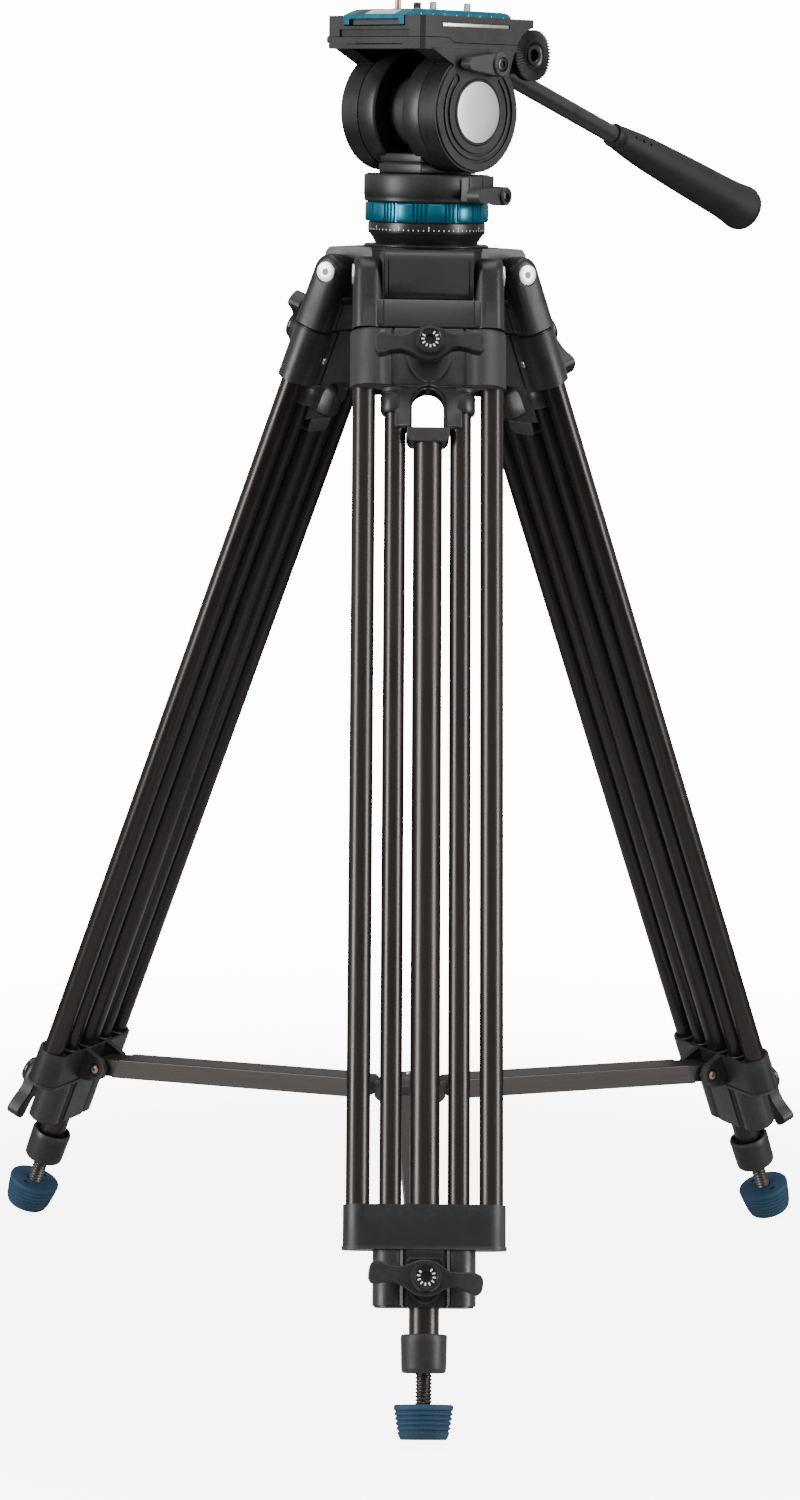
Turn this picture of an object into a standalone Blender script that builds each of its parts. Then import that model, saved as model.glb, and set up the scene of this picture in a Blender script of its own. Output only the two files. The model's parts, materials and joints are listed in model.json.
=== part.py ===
"""Video tripod with a fluid head: twin-tube legs spread open, collapsed, with a mid-level spreader.

Metres, +Z up, floor at z = 0. The pan axis is x = y = 0 and the front leg points along -Y.
Each leg is built in its own frame: origin on its hinge, +X along the hinge, +Y out of the leg's
outer face, +Z back up the leg. The head is built in a frame turned about the pan axis: +Y is
where a camera looks, +X is the operator's right.
"""

import math

import bmesh
import bpy
from mathutils import Matrix, Vector

# ---------------------------------------------------------------- driving dimensions
GAP = 0.0003                      # clearance between neighbouring pieces
LEG_AZIMUTHS = {"front": -90.0, "right": 30.0, "left": 150.0}
HINGE_RADIUS = 0.0456             # leg hinge from the pan axis
HINGE_Z = 0.6567
LEG_TILT = math.radians(21.3)     # leg from the vertical, spread open

OUTER_X, OUTER_R = 0.0389, 0.0070     # outer tubes: half spacing, radius
INNER_X, INNER_R = 0.0199, 0.0065     # inner tubes
CENTRE_R = 0.0088                     # centre tube
LEG_DEPTH = 0.0240                    # castings, front to back
FORK_TOP, FORK_BAR, FORK_END = 0.0090, -0.0180, -0.0370
COLLAR_END, SOCKET_END, BRIDGE_END, YOKE_END = -0.0727, -0.0890, -0.0985, -0.1080
BRACKET_TOP, BRACKET_END = -0.5660, -0.5920
LOWER_COLLAR_END = -0.6250
BOOT_TOP, BOOT_END = -0.6400, -0.6620
FOOT_TOP = -0.6798
FOOT_RADIUS_TOP, FOOT_RADIUS_END = 0.01825, 0.0130
FOOT_END = -(HINGE_Z - FOOT_RADIUS_END * math.sin(LEG_TILT)) / math.cos(LEG_TILT)
KNOB_UPPER_Z, KNOB_LOWER_Z = -0.0510, -0.6085
KNOB_TURNS = {"front": (0.0, -8.0), "right": (45.0, 60.0), "left": (45.0, -60.0)}

ARM_PIVOT = Vector((0.0, -0.0219, -0.5752))   # in the leg's frame
ARM_WIDTH, ARM_HEIGHT = 0.0200, 0.0130
HUB_PIVOT_RADIUS, HUB_PIVOT_Z = 0.0200, 0.1288
HUB_R, HUB_SLOT_DEPTH = 0.0232, 0.0152        # hub plate, and how near the slots come to its centre
ARM_END_GAP = 0.0060                          # arm body stops this far short of its hub pivot

HEAD_YAW = math.radians(133.76)
TILT_Z = 0.7555
DRUM_R, DRUM_FACE, DRUM_SEAM = 0.0365, 0.0420, 0.0262
PLATFORM_Z = 0.7925
PLATFORM_HALF = (0.0415, 0.0490)
PLATE_HALF_X, PLATE_REAR, PLATE_FRONT = 0.0258, -0.0455, 0.0500
ROSETTE_Y, ROSETTE_Z, ROSETTE_R = -0.0505, 0.7910, 0.0158
BAR_X = 0.0520
BAR_BEND = Vector((BAR_X, -0.0955, 0.7915))
BAR_TIP = Vector((BAR_X, -0.3808, 0.6913))
BAR_TUBE_R = 0.0061
GRIP_LENGTH = 0.1560

COLOURS = {
    "casting": ((0.020, 0.020, 0.022), 0.45, 0.0),
    "tube": ((0.045, 0.038, 0.034), 0.32, 0.9),
    "teal": ((0.010, 0.180, 0.240), 0.35, 0.6),
    "silver": ((0.600, 0.600, 0.590), 0.35, 0.9),
    "brass": ((0.450, 0.300, 0.180), 0.35, 0.9),
    "rubber": ((0.015, 0.035, 0.065), 0.70, 0.0),
    "grip": ((0.025, 0.024, 0.024), 0.65, 0.0),
    "spreader": ((0.120, 0.100, 0.085), 0.45, 0.3),
}


# ---------------------------------------------------------------- modelling helpers
def clear_scene():
    for item in list(bpy.data.objects):
        bpy.data.objects.remove(item, do_unlink=True)


def collection(name):
    made = bpy.data.collections.new(name)
    bpy.context.scene.collection.children.link(made)
    return made


def material(name):
    colour, roughness, metallic = COLOURS[name]
    made = bpy.data.materials.new(name)
    made.use_nodes = True
    shader = made.node_tree.nodes["Principled BSDF"]
    shader.inputs["Base Color"].default_value = (*colour, 1.0)
    shader.inputs["Roughness"].default_value = roughness
    shader.inputs["Metallic"].default_value = metallic
    return made


def working(mesh):
    """Puts a mesh on a temporary object, to carry a modifier."""
    made = bpy.data.objects.new("working", mesh)
    bpy.context.scene.collection.objects.link(made)
    return made


def evaluated(obj):
    """The mesh of a temporary object with its modifiers applied; the object is removed."""
    depsgraph = bpy.context.evaluated_depsgraph_get()
    mesh = bpy.data.meshes.new_from_object(obj.evaluated_get(depsgraph))
    mesh.transform(obj.matrix_world)
    bpy.data.objects.remove(obj, do_unlink=True)
    return mesh


def from_bmesh(bm):
    mesh = bpy.data.meshes.new("mesh")
    bm.to_mesh(mesh)
    bm.free()
    return mesh


def brick(low, high, bevel=0.0, segments=2, edges=None):
    """A box between two corners. edges picks the axis whose parallel edges are rounded, or all."""
    low, high = Vector(low), Vector(high)
    bm = bmesh.new()
    bmesh.ops.create_cube(bm, size=1.0)
    bmesh.ops.scale(bm, vec=high - low, verts=bm.verts)
    bmesh.ops.translate(bm, vec=(low + high) / 2.0, verts=bm.verts)
    if bevel:
        chosen = list(bm.edges)
        if edges is not None:
            chosen = [
                e for e in bm.edges if abs((e.verts[0].co - e.verts[1].co).normalized()[edges]) > 0.9
            ]
        bmesh.ops.bevel(
            bm, geom=chosen, offset=bevel, offset_type="OFFSET", segments=segments,
            profile=0.5, affect="EDGES", clamp_overlap=True,
        )
    return from_bmesh(bm)


def rod(start, end, radius, end_radius=None, sides=20):
    """A cylinder or cone from one point to another."""
    start, end = Vector(start), Vector(end)
    bm = bmesh.new()
    bmesh.ops.create_cone(
        bm, cap_ends=True, cap_tris=False, segments=sides,
        radius1=radius, radius2=radius if end_radius is None else end_radius,
        depth=(end - start).length,
    )
    turn = Vector((0.0, 0.0, 1.0)).rotation_difference(end - start).to_matrix().to_4x4()
    bmesh.ops.transform(bm, matrix=Matrix.Translation((start + end) / 2.0) @ turn, verts=bm.verts)
    return from_bmesh(bm)


def turned(profile, steps=28):
    """A solid of revolution about Z. profile is (radius, z), top to bottom down its outer side."""
    mesh = bpy.data.meshes.new("profile")
    points = [(radius, 0.0, z) for radius, z in profile]
    closed = profile[0][0] > 0.0
    edges = [(i, i + 1) for i in range(len(points) - 1)]
    if closed:
        edges.append((len(points) - 1, 0))
    mesh.from_pydata(points, edges, [])
    spun = working(mesh)
    screw = spun.modifiers.new("Turn", "SCREW")
    screw.axis = "Z"
    screw.steps = steps
    screw.render_steps = steps
    screw.use_merge_vertices = True
    screw.merge_threshold = 0.00001
    return evaluated(spun)


def slab(outline, low, high, axis):
    """A flat outline, extruded along X ("X": outline is y, z) or Z ("Z": outline is x, y)."""
    curve = bpy.data.curves.new("outline", "CURVE")
    curve.dimensions = "2D"
    curve.fill_mode = "BOTH"
    curve.extrude = (high - low) / 2.0
    spline = curve.splines.new("POLY")
    spline.points.add(len(outline) - 1)
    for point, (u, v) in zip(spline.points, outline):
        point.co = (u, v, 0.0, 1.0)
    spline.use_cyclic_u = True
    mesh = evaluated(working(curve))
    bm = bmesh.new()
    bm.from_mesh(mesh)
    bmesh.ops.remove_doubles(bm, verts=bm.verts, dist=0.00001)
    bmesh.ops.translate(bm, vec=(0.0, 0.0, (low + high) / 2.0), verts=bm.verts)
    if axis == "X":
        cycle = Matrix(((0, 0, 1, 0), (1, 0, 0, 0), (0, 1, 0, 0), (0, 0, 0, 1)))
        bmesh.ops.transform(bm, matrix=cycle, verts=bm.verts)
    bmesh.ops.recalc_face_normals(bm, faces=bm.faces)
    return from_bmesh(bm)


def combined(base, tools, operation):
    for tool in tools:
        target, other = working(base), working(tool)
        step = target.modifiers.new("Boolean", "BOOLEAN")
        step.operation = operation
        step.solver = "EXACT"
        step.object = other
        base = evaluated(target)
        bpy.data.objects.remove(other, do_unlink=True)
    return base


def joined(base, *tools):
    return combined(base, tools, "UNION")


def cut(base, *tools):
    return combined(base, tools, "DIFFERENCE")


def moved(mesh, matrix):
    copy = mesh.copy()
    copy.transform(matrix)
    return copy


def arc(centre, radius, start, end, count):
    """Points on a circle, between two angles in degrees."""
    angles = [math.radians(start + (end - start) * i / count) for i in range(count + 1)]
    return [(centre[0] + radius * math.cos(a), centre[1] + radius * math.sin(a)) for a in angles]


def empty(name, matrix, parent=None):
    made = bpy.data.objects.new(name, None)
    made.empty_display_size = 0.02
    PARTS.objects.link(made)
    made.parent = parent
    made.matrix_local = matrix
    return made


def place(name, mesh, look, parent, origin=(0.0, 0.0, 0.0), turn=None):
    """A named piece: its mesh is given in the parent's frame, its origin moves to its joint."""
    origin = Vector(origin)
    local = Matrix.Translation(origin)
    if turn is not None:
        local = local @ turn
    mesh = moved(mesh, local.inverted())
    mesh.name = name
    mesh.shade_smooth()
    mesh.set_sharp_from_angle(angle=math.radians(35.0))
    mesh.materials.clear()
    mesh.materials.append(LOOKS[look])
    made = bpy.data.objects.new(name, mesh)
    PARTS.objects.link(made)
    made.parent = parent
    made.matrix_local = local
    return made


# ---------------------------------------------------------------- leg pieces, in the leg's frame
def fork():
    """Two ears on the hinge bolt, joined by a bar over the collar."""
    half = LEG_DEPTH / 2.0 - 0.001
    proud = half + 0.0006
    bar = brick((-0.0474, -proud, FORK_END), (0.0474, proud, FORK_BAR), 0.006, 3, edges=2)
    outline = arc((0.0, 0.0), half, 0.0, 180.0, 12)
    outline += [(-half, FORK_BAR - 0.004), (half, FORK_BAR - 0.004)]
    bore = rod((-0.06, 0.0, 0.0), (0.06, 0.0, 0.0), 0.0040 + GAP, sides=16)
    ears = []
    for side in (-1.0, 1.0):
        near, far = sorted((side * 0.0280, side * 0.0460))
        ears.append(cut(slab(outline, near, far, "X"), bore))
    return joined(bar, *ears)


def axle():
    """Hinge bolt through both ears, with a washer cap at each end."""
    bolt = rod((-0.0465, 0.0, 0.0), (0.0465, 0.0, 0.0), 0.0040, sides=16)
    caps = [rod((s * 0.0463, 0.0, 0.0), (s * 0.0474, 0.0, 0.0), 0.0062, sides=24) for s in (-1, 1)]
    return joined(bolt, *caps)


def outer_frame():
    """Two outer tubes in the spreader bracket, which the inner and centre tubes pass through."""
    half = LEG_DEPTH / 2.0
    bracket = brick((-0.048, -half, BRACKET_END), (0.048, half, BRACKET_TOP), 0.0115, 4, edges=2)
    bores = [
        rod((x, 0.0, BRACKET_END - 0.01), (x, 0.0, BRACKET_TOP + 0.01), r + GAP, sides=20)
        for x, r in ((-INNER_X, INNER_R), (0.0, CENTRE_R), (INNER_X, INNER_R))
    ]
    bracket = cut(bracket, *bores)
    tubes = [
        rod((s * OUTER_X, 0.0, BRACKET_END + 0.003), (s * OUTER_X, 0.0, FORK_END - GAP), OUTER_R)
        for s in (-1, 1)
    ]
    ears = []
    for side in (-1.0, 1.0):
        near, far = sorted((side * (ARM_WIDTH / 2.0 + GAP), side * 0.0140))
        outline = arc((ARM_PIVOT.y, ARM_PIVOT.z), 0.0075, 90.0, 270.0, 10)
        outline += [(0.001 - half, ARM_PIVOT.z - 0.0075), (0.001 - half, ARM_PIVOT.z + 0.0075)]
        ears.append(slab(outline, near, far, "X"))
    return joined(bracket, *tubes, *ears)


def slide_collar():
    """Upper collar, sliding on the outer tubes, with the inner tubes' sockets and arched bridge."""
    half = LEG_DEPTH / 2.0
    top = FORK_END - GAP
    collar = brick((-0.0476, -half, COLLAR_END), (0.0476, half, top), 0.0110, 4, edges=2)
    bores = [
        rod((s * OUTER_X, 0.0, COLLAR_END - 0.01), (s * OUTER_X, 0.0, top + 0.01), OUTER_R + GAP)
        for s in (-1, 1)
    ]
    sockets = [
        rod((s * INNER_X, 0.0, SOCKET_END), (s * INNER_X, 0.0, COLLAR_END + 0.002), 0.0088)
        for s in (-1, 1)
    ]
    bridge = brick((-0.0204, -0.0085, BRIDGE_END), (0.0204, 0.0085, COLLAR_END + 0.002))
    arch_low = BRIDGE_END - 0.01
    arch = brick((-0.0098, -0.02, arch_low), (0.0098, 0.02, COLLAR_END - 0.0110))
    crown = rod((0.0, -0.02, COLLAR_END - 0.0110), (0.0, 0.02, COLLAR_END - 0.0110), 0.0098)
    inner = [
        rod((s * INNER_X, 0.0, BRIDGE_END - 0.01), (s * INNER_X, 0.0, COLLAR_END), INNER_R + GAP)
        for s in (-1, 1)
    ]
    return cut(joined(collar, *sockets, bridge), *bores, arch, crown, *inner)


def mid_frame():
    """Two inner tubes held by the lower collar, which the centre tube slides in."""
    half = LEG_DEPTH / 2.0
    top = BRACKET_END - GAP
    collar = brick((-0.030, -half, LOWER_COLLAR_END), (0.030, half, top), 0.0100, 4, edges=2)
    bore = rod((0.0, 0.0, LOWER_COLLAR_END - 0.01), (0.0, 0.0, top + 0.01), CENTRE_R + GAP)
    tubes = [
        rod((s * INNER_X, 0.0, top - 0.01), (s * INNER_X, 0.0, COLLAR_END - GAP), INNER_R)
        for s in (-1, 1)
    ]
    return joined(cut(collar, bore), *tubes)


def centre_tube():
    """Centre tube with the guide block that runs between the inner tubes."""
    tube = rod((0.0, 0.0, BOOT_TOP + GAP), (0.0, 0.0, YOKE_END + 0.002), CENTRE_R, sides=24)
    guide = brick((-0.0130, -0.0090, YOKE_END), (0.0130, 0.0090, BRIDGE_END - GAP))
    return joined(tube, guide)


def boot():
    """Tapered rubber boot on the tube's end, with the threaded stud that carries the foot."""
    stud_end = FOOT_TOP - 0.0090
    return turned([
        (0.0, BOOT_TOP), (0.0133, BOOT_TOP), (0.0135, BOOT_TOP - 0.003), (0.0125, BOOT_END),
        (0.0050, BOOT_END), (0.0050, stud_end), (0.0, stud_end),
    ])


def foot():
    """Rubber foot: a stepped cone with a socket for the stud."""
    step = (FOOT_TOP - FOOT_END) / 4.0
    socket = 0.0050 + GAP
    profile = [(socket, FOOT_TOP), (FOOT_RADIUS_TOP - 0.0012, FOOT_TOP)]
    for i in range(4):
        radius = FOOT_RADIUS_TOP + (FOOT_RADIUS_END - FOOT_RADIUS_TOP) * i / 3.0
        profile.append((radius, FOOT_TOP - step * i - 0.0008))
        profile.append((radius - 0.0004, FOOT_TOP - step * (i + 1)))
    profile[-1] = (FOOT_RADIUS_END, FOOT_END)
    profile += [(0.0, FOOT_END), (0.0, FOOT_TOP - 0.0095), (socket, FOOT_TOP - 0.0095)]
    return turned_cup(profile)


def turned_cup(profile):
    """A turned piece whose profile leaves the axis twice: its floor, and its socket's floor."""
    inner = len(profile) - 2
    shell = turned([(0.0, profile[0][1]), *profile[1:inner]])
    socket = rod((0.0, 0.0, profile[inner][1]), (0.0, 0.0, profile[0][1] + 0.01), profile[0][0])
    return cut(shell, socket)


def wing_knob(height, turn):
    """T-shaped clamp knob on the collar's outer face."""
    front = LEG_DEPTH / 2.0 + GAP
    hub = rod((0.0, front, height), (0.0, front + 0.0215, height), 0.0085, sides=24)
    wing = brick((-0.0335, front + 0.009, -0.0060), (0.0335, front + 0.0175, 0.0060), 0.004, 2)
    wing = moved(wing, Matrix.Rotation(math.radians(turn), 4, "Y"))
    return joined(hub, moved(wing, Matrix.Translation((0.0, 0.0, height))))


def spreader_arm(length):
    """Rectangular tube arm along +X from its bracket pivot, with a round pivot end."""
    half_w, half_h = ARM_WIDTH / 2.0, ARM_HEIGHT / 2.0
    outline = arc((0.0, 0.0), half_h, 90.0, 270.0, 12)
    outline += [(length - 0.002, -half_h), (length, 0.002 - half_h)]
    outline += [(length, half_h - 0.002), (length - 0.002, half_h)]
    flat = slab(outline, -half_w, half_w, "X")
    return moved(flat, Matrix(((0, 1, 0, 0), (-1, 0, 0, 0), (0, 0, 1, 0), (0, 0, 0, 1))))


def leg_matrix(azimuth):
    a = math.radians(azimuth)
    out = Vector((math.cos(a), math.sin(a), 0.0))
    up = Vector((0.0, 0.0, 1.0))
    z_axis = -(out * math.sin(LEG_TILT) - up * math.cos(LEG_TILT))
    y_axis = out * math.cos(LEG_TILT) + up * math.sin(LEG_TILT)
    x_axis = y_axis.cross(z_axis)
    hinge = out * HINGE_RADIUS + up * HINGE_Z
    rotation = Matrix((x_axis, y_axis, z_axis)).transposed().to_4x4()
    return Matrix.Translation(hinge) @ rotation


def arm_matrix(azimuth):
    """Frame of a spreader arm: origin on its bracket pivot, +X towards its pivot on the hub."""
    a = math.radians(azimuth)
    start = leg_matrix(azimuth) @ ARM_PIVOT
    end = Vector((math.cos(a), math.sin(a), 0.0)) * HUB_PIVOT_RADIUS
    end.z = HUB_PIVOT_Z
    x_axis = (end - start).normalized()
    y_axis = Vector((0.0, 0.0, 1.0)).cross(x_axis).normalized()
    z_axis = x_axis.cross(y_axis)
    rotation = Matrix((x_axis, y_axis, z_axis)).transposed().to_4x4()
    return Matrix.Translation(start) @ rotation, (end - start).length


def build_legs():
    shared = {
        "fork": (fork(), "casting"),
        "axle": (axle(), "silver"),
        "outer_frame": (outer_frame(), "tube"),
        "slide_collar": (slide_collar(), "casting"),
        "mid_frame": (mid_frame(), "tube"),
        "centre_tube": (centre_tube(), "tube"),
        "boot": (boot(), "casting"),
        "foot": (foot(), "rubber"),
    }
    for leg, azimuth in LEG_AZIMUTHS.items():
        frame = empty(f"frame_{leg}", leg_matrix(azimuth))
        for piece, (mesh, look) in shared.items():
            place(f"{leg}_{piece}", mesh, look, frame)
        upper, lower = KNOB_TURNS[leg]
        place(f"{leg}_upper_knob", wing_knob(KNOB_UPPER_Z, upper), "casting", frame, (0, 0, KNOB_UPPER_Z))
        place(f"{leg}_lower_knob", wing_knob(KNOB_LOWER_Z, lower), "casting", frame, (0, 0, KNOB_LOWER_Z))
        matrix, length = arm_matrix(azimuth)
        pivot = empty(f"frame_{leg}_arm", matrix)
        place(f"{leg}_arm", spreader_arm(length - ARM_END_GAP), "spreader", pivot)


def spreader_hub():
    """Round hub plate with a slot facing each leg, so that an arm can stand up in it."""
    low, high = HUB_PIVOT_Z - 0.0052, HUB_PIVOT_Z + 0.0070
    slots = []
    for azimuth in LEG_AZIMUTHS.values():
        slot = brick((-0.0104, HUB_SLOT_DEPTH, low - 0.01), (0.0104, 0.04, high + 0.01))
        slots.append(moved(slot, Matrix.Rotation(math.radians(azimuth - 90.0), 4, "Z")))
    return cut(rod((0.0, 0.0, low), (0.0, 0.0, high), HUB_R, sides=48), *slots)


def build_crown():
    """Crown casting with three hinge bosses, the spreader hub, and the fixed rings of the base."""
    half_w, bottom, top = 0.0272, HINGE_Z - 0.0165, 0.6720
    crown = rod((0.0, 0.0, bottom), (0.0, 0.0, 0.6735), 0.0360, sides=48)
    bosses = []
    for azimuth in LEG_AZIMUTHS.values():
        boss = brick((-half_w, 0.0, bottom), (half_w, HINGE_RADIUS + 0.0115, top), 0.0080, 3, edges=0)
        keep = brick((-half_w - 0.01, 0.005, bottom - 0.01), (half_w + 0.01, 0.1, top + 0.01))
        boss = combined(boss, [keep], "INTERSECT")
        bore_y = HINGE_RADIUS
        bore = rod((-0.05, bore_y, HINGE_Z), (0.05, bore_y, HINGE_Z), 0.0040 + GAP, sides=16)
        turn = Matrix.Rotation(math.radians(azimuth - 90.0), 4, "Z")
        bosses.append(moved(cut(boss, bore), turn))
    place("crown", joined(crown, *bosses), "casting", None)

    place("spreader_hub", spreader_hub(), "casting", None, (0.0, -HUB_PIVOT_RADIUS, HUB_PIVOT_Z))
    neck = turned([(0.0, 0.6804), (0.0350, 0.6804), (0.0316, 0.6738), (0.0, 0.6738)], 40)
    place("bowl_neck", neck, "casting", None)
    scale = turned([
        (0.0, 0.6995), (0.0297, 0.6995), (0.0297, 0.6880), (0.0365, 0.6880), (0.0365, 0.6807), (0.0, 0.6807),
    ], 40)
    place("scale_ring", scale, "casting", None)
    ring = turned([(0.0300, 0.6998), (0.0387, 0.6998), (0.0387, 0.6883), (0.0300, 0.6883)], 40)
    place("drag_ring", ring, "teal", None)


# ---------------------------------------------------------------- head pieces, in the head's frame
def pan_base():
    """Round housing of the pan bearing, with a flat clamp lug for the pan lock."""
    body = rod((0.0, 0.0, 0.7001), (0.0, 0.0, 0.7175), 0.0395, sides=48)
    lug = brick((-0.0115, 0.0200, 0.7004), (0.0150, 0.0430, 0.7172))
    return joined(body, moved(lug, LUG_TURN))


def teardrop_lever(round_r, tip_r, length, thickness):
    """Lock lever: a round end on its bolt, tapering to a narrow handle along +X."""
    outline = arc((0.0, 0.0), round_r, 75.0, 285.0, 10) + arc((length, 0.0), tip_r, -80.0, 80.0, 4)
    return slab(outline, 0.0, thickness, "Z")


def yoke():
    """Block standing on the pan base, with the fixed inner drums and the tilt shaft's housing."""
    block = brick((-0.0185, -0.0250, 0.7178), (0.0185, 0.0250, 0.7300))
    shaft = rod((-0.0135, 0.0, TILT_Z), (0.0135, 0.0, TILT_Z), 0.0230, sides=36)
    drums = [
        rod((s * 0.0118, 0.0, TILT_Z), (s * (DRUM_SEAM - GAP), 0.0, TILT_Z), DRUM_R, sides=40)
        for s in (-1, 1)
    ]
    return joined(block, shaft, *drums)


def tilt_drum(side):
    """Outer drum that carries the platform: a disc flaring up to the platform's underside."""
    outline = arc((0.0, TILT_Z), DRUM_R, 140.0, 412.0, 32)
    outline += [(0.0440, PLATFORM_Z - GAP), (-0.0335, PLATFORM_Z - GAP)]
    low, high = sorted((side * DRUM_SEAM, side * DRUM_FACE))
    return slab(outline, low, high, "X")


def platform():
    """Lower half of the camera platform, with the cross barrel for the pan bar rosettes."""
    bx, by = PLATFORM_HALF
    body = brick((-bx, -by, PLATFORM_Z), (bx, by, 0.8045))
    barrel = rod((-0.0337, ROSETTE_Y, ROSETTE_Z), (0.0337, ROSETTE_Y, ROSETTE_Z), 0.0115, sides=28)
    relief = [
        rod((s * 0.0337, ROSETTE_Y, ROSETTE_Z), (s * 0.0440, ROSETTE_Y, ROSETTE_Z), ROSETTE_R + 0.0005, sides=36)
        for s in (-1, 1)
    ]
    return joined(cut(body, *relief), barrel)


def plate_clamp():
    """Upper half of the platform: a channel that the quick-release plate slides in."""
    bx, by = PLATFORM_HALF
    body = brick((-bx, -by, 0.8048), (bx, by, 0.8125))
    channel = brick((-PLATE_HALF_X - GAP, -0.1, 0.8062), (PLATE_HALF_X + GAP, 0.1, 0.83))
    relief = [
        rod((s * 0.0337, ROSETTE_Y, ROSETTE_Z), (s * 0.0440, ROSETTE_Y, ROSETTE_Z), ROSETTE_R + 0.0005, sides=36)
        for s in (-1, 1)
    ]
    return cut(body, channel, *relief)


def rosette(side):
    """Disc with a bolt hole on the end of the platform's cross barrel."""
    disc = rod((side * 0.0340, ROSETTE_Y, ROSETTE_Z), (side * 0.0420, ROSETTE_Y, ROSETTE_Z), ROSETTE_R, sides=36)
    hole = rod((side * 0.0380, ROSETTE_Y, ROSETTE_Z), (side * 0.0500, ROSETTE_Y, ROSETTE_Z), 0.0035, sides=16)
    return cut(disc, hole)


def bar_clamp():
    """Rosette clamp of the pan bar: a disc with a socket for the tube."""
    disc = rod((0.0423, ROSETTE_Y, ROSETTE_Z), (0.0600, ROSETTE_Y, ROSETTE_Z), ROSETTE_R, sides=36)
    socket = rod((BAR_X, ROSETTE_Y, ROSETTE_Z), (BAR_X, -0.0780, ROSETTE_Z), 0.0080, sides=24)
    return joined(disc, socket)


def bar_tube():
    """Pan bar tube: level out of its clamp, then one bend, then straight down to the grip."""
    along = (BAR_TIP - BAR_BEND).normalized()
    start = Vector((BAR_X, -0.0780 - GAP, ROSETTE_Z))
    end = BAR_TIP - along * (GRIP_LENGTH + GAP)
    curve = bpy.data.curves.new("bar", "CURVE")
    curve.dimensions = "3D"
    curve.bevel_depth = BAR_TUBE_R
    curve.bevel_resolution = 3
    curve.use_fill_caps = True
    lead = 0.012
    middle = [
        BAR_BEND + (start - BAR_BEND).normalized() * lead * (1.0 - t) ** 2 + along * lead * t ** 2
        for t in (0.0, 0.25, 0.5, 0.75, 1.0)
    ]
    points = [start, *middle, end]
    spline = curve.splines.new("POLY")
    spline.points.add(len(points) - 1)
    for point, place_at in zip(spline.points, points):
        point.co = (*place_at, 1.0)
    mesh = evaluated(working(curve))
    bm = bmesh.new()
    bm.from_mesh(mesh)
    bmesh.ops.remove_doubles(bm, verts=bm.verts, dist=0.00001)
    bmesh.ops.recalc_face_normals(bm, faces=bm.faces)
    return from_bmesh(bm)


def bar_grip():
    """Rubber grip, swelling towards a rounded flared end."""
    profile = [(0.0, 0.0), (0.0100, -0.0006), (0.0145, -0.0040), (0.0160, -0.0100), (0.0152, -0.0180)]
    profile += [(0.0142, -0.0300), (0.0128, -0.0800), (0.0105, -0.1340), (0.0086, -0.1530)]
    profile += [(0.0080, -GRIP_LENGTH), (0.0, -GRIP_LENGTH)]
    along = (BAR_TIP - BAR_BEND).normalized()
    turn = Vector((0.0, 0.0, 1.0)).rotation_difference(along).to_matrix().to_4x4()
    return moved(turned(profile, 28), Matrix.Translation(BAR_TIP) @ turn)


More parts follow.
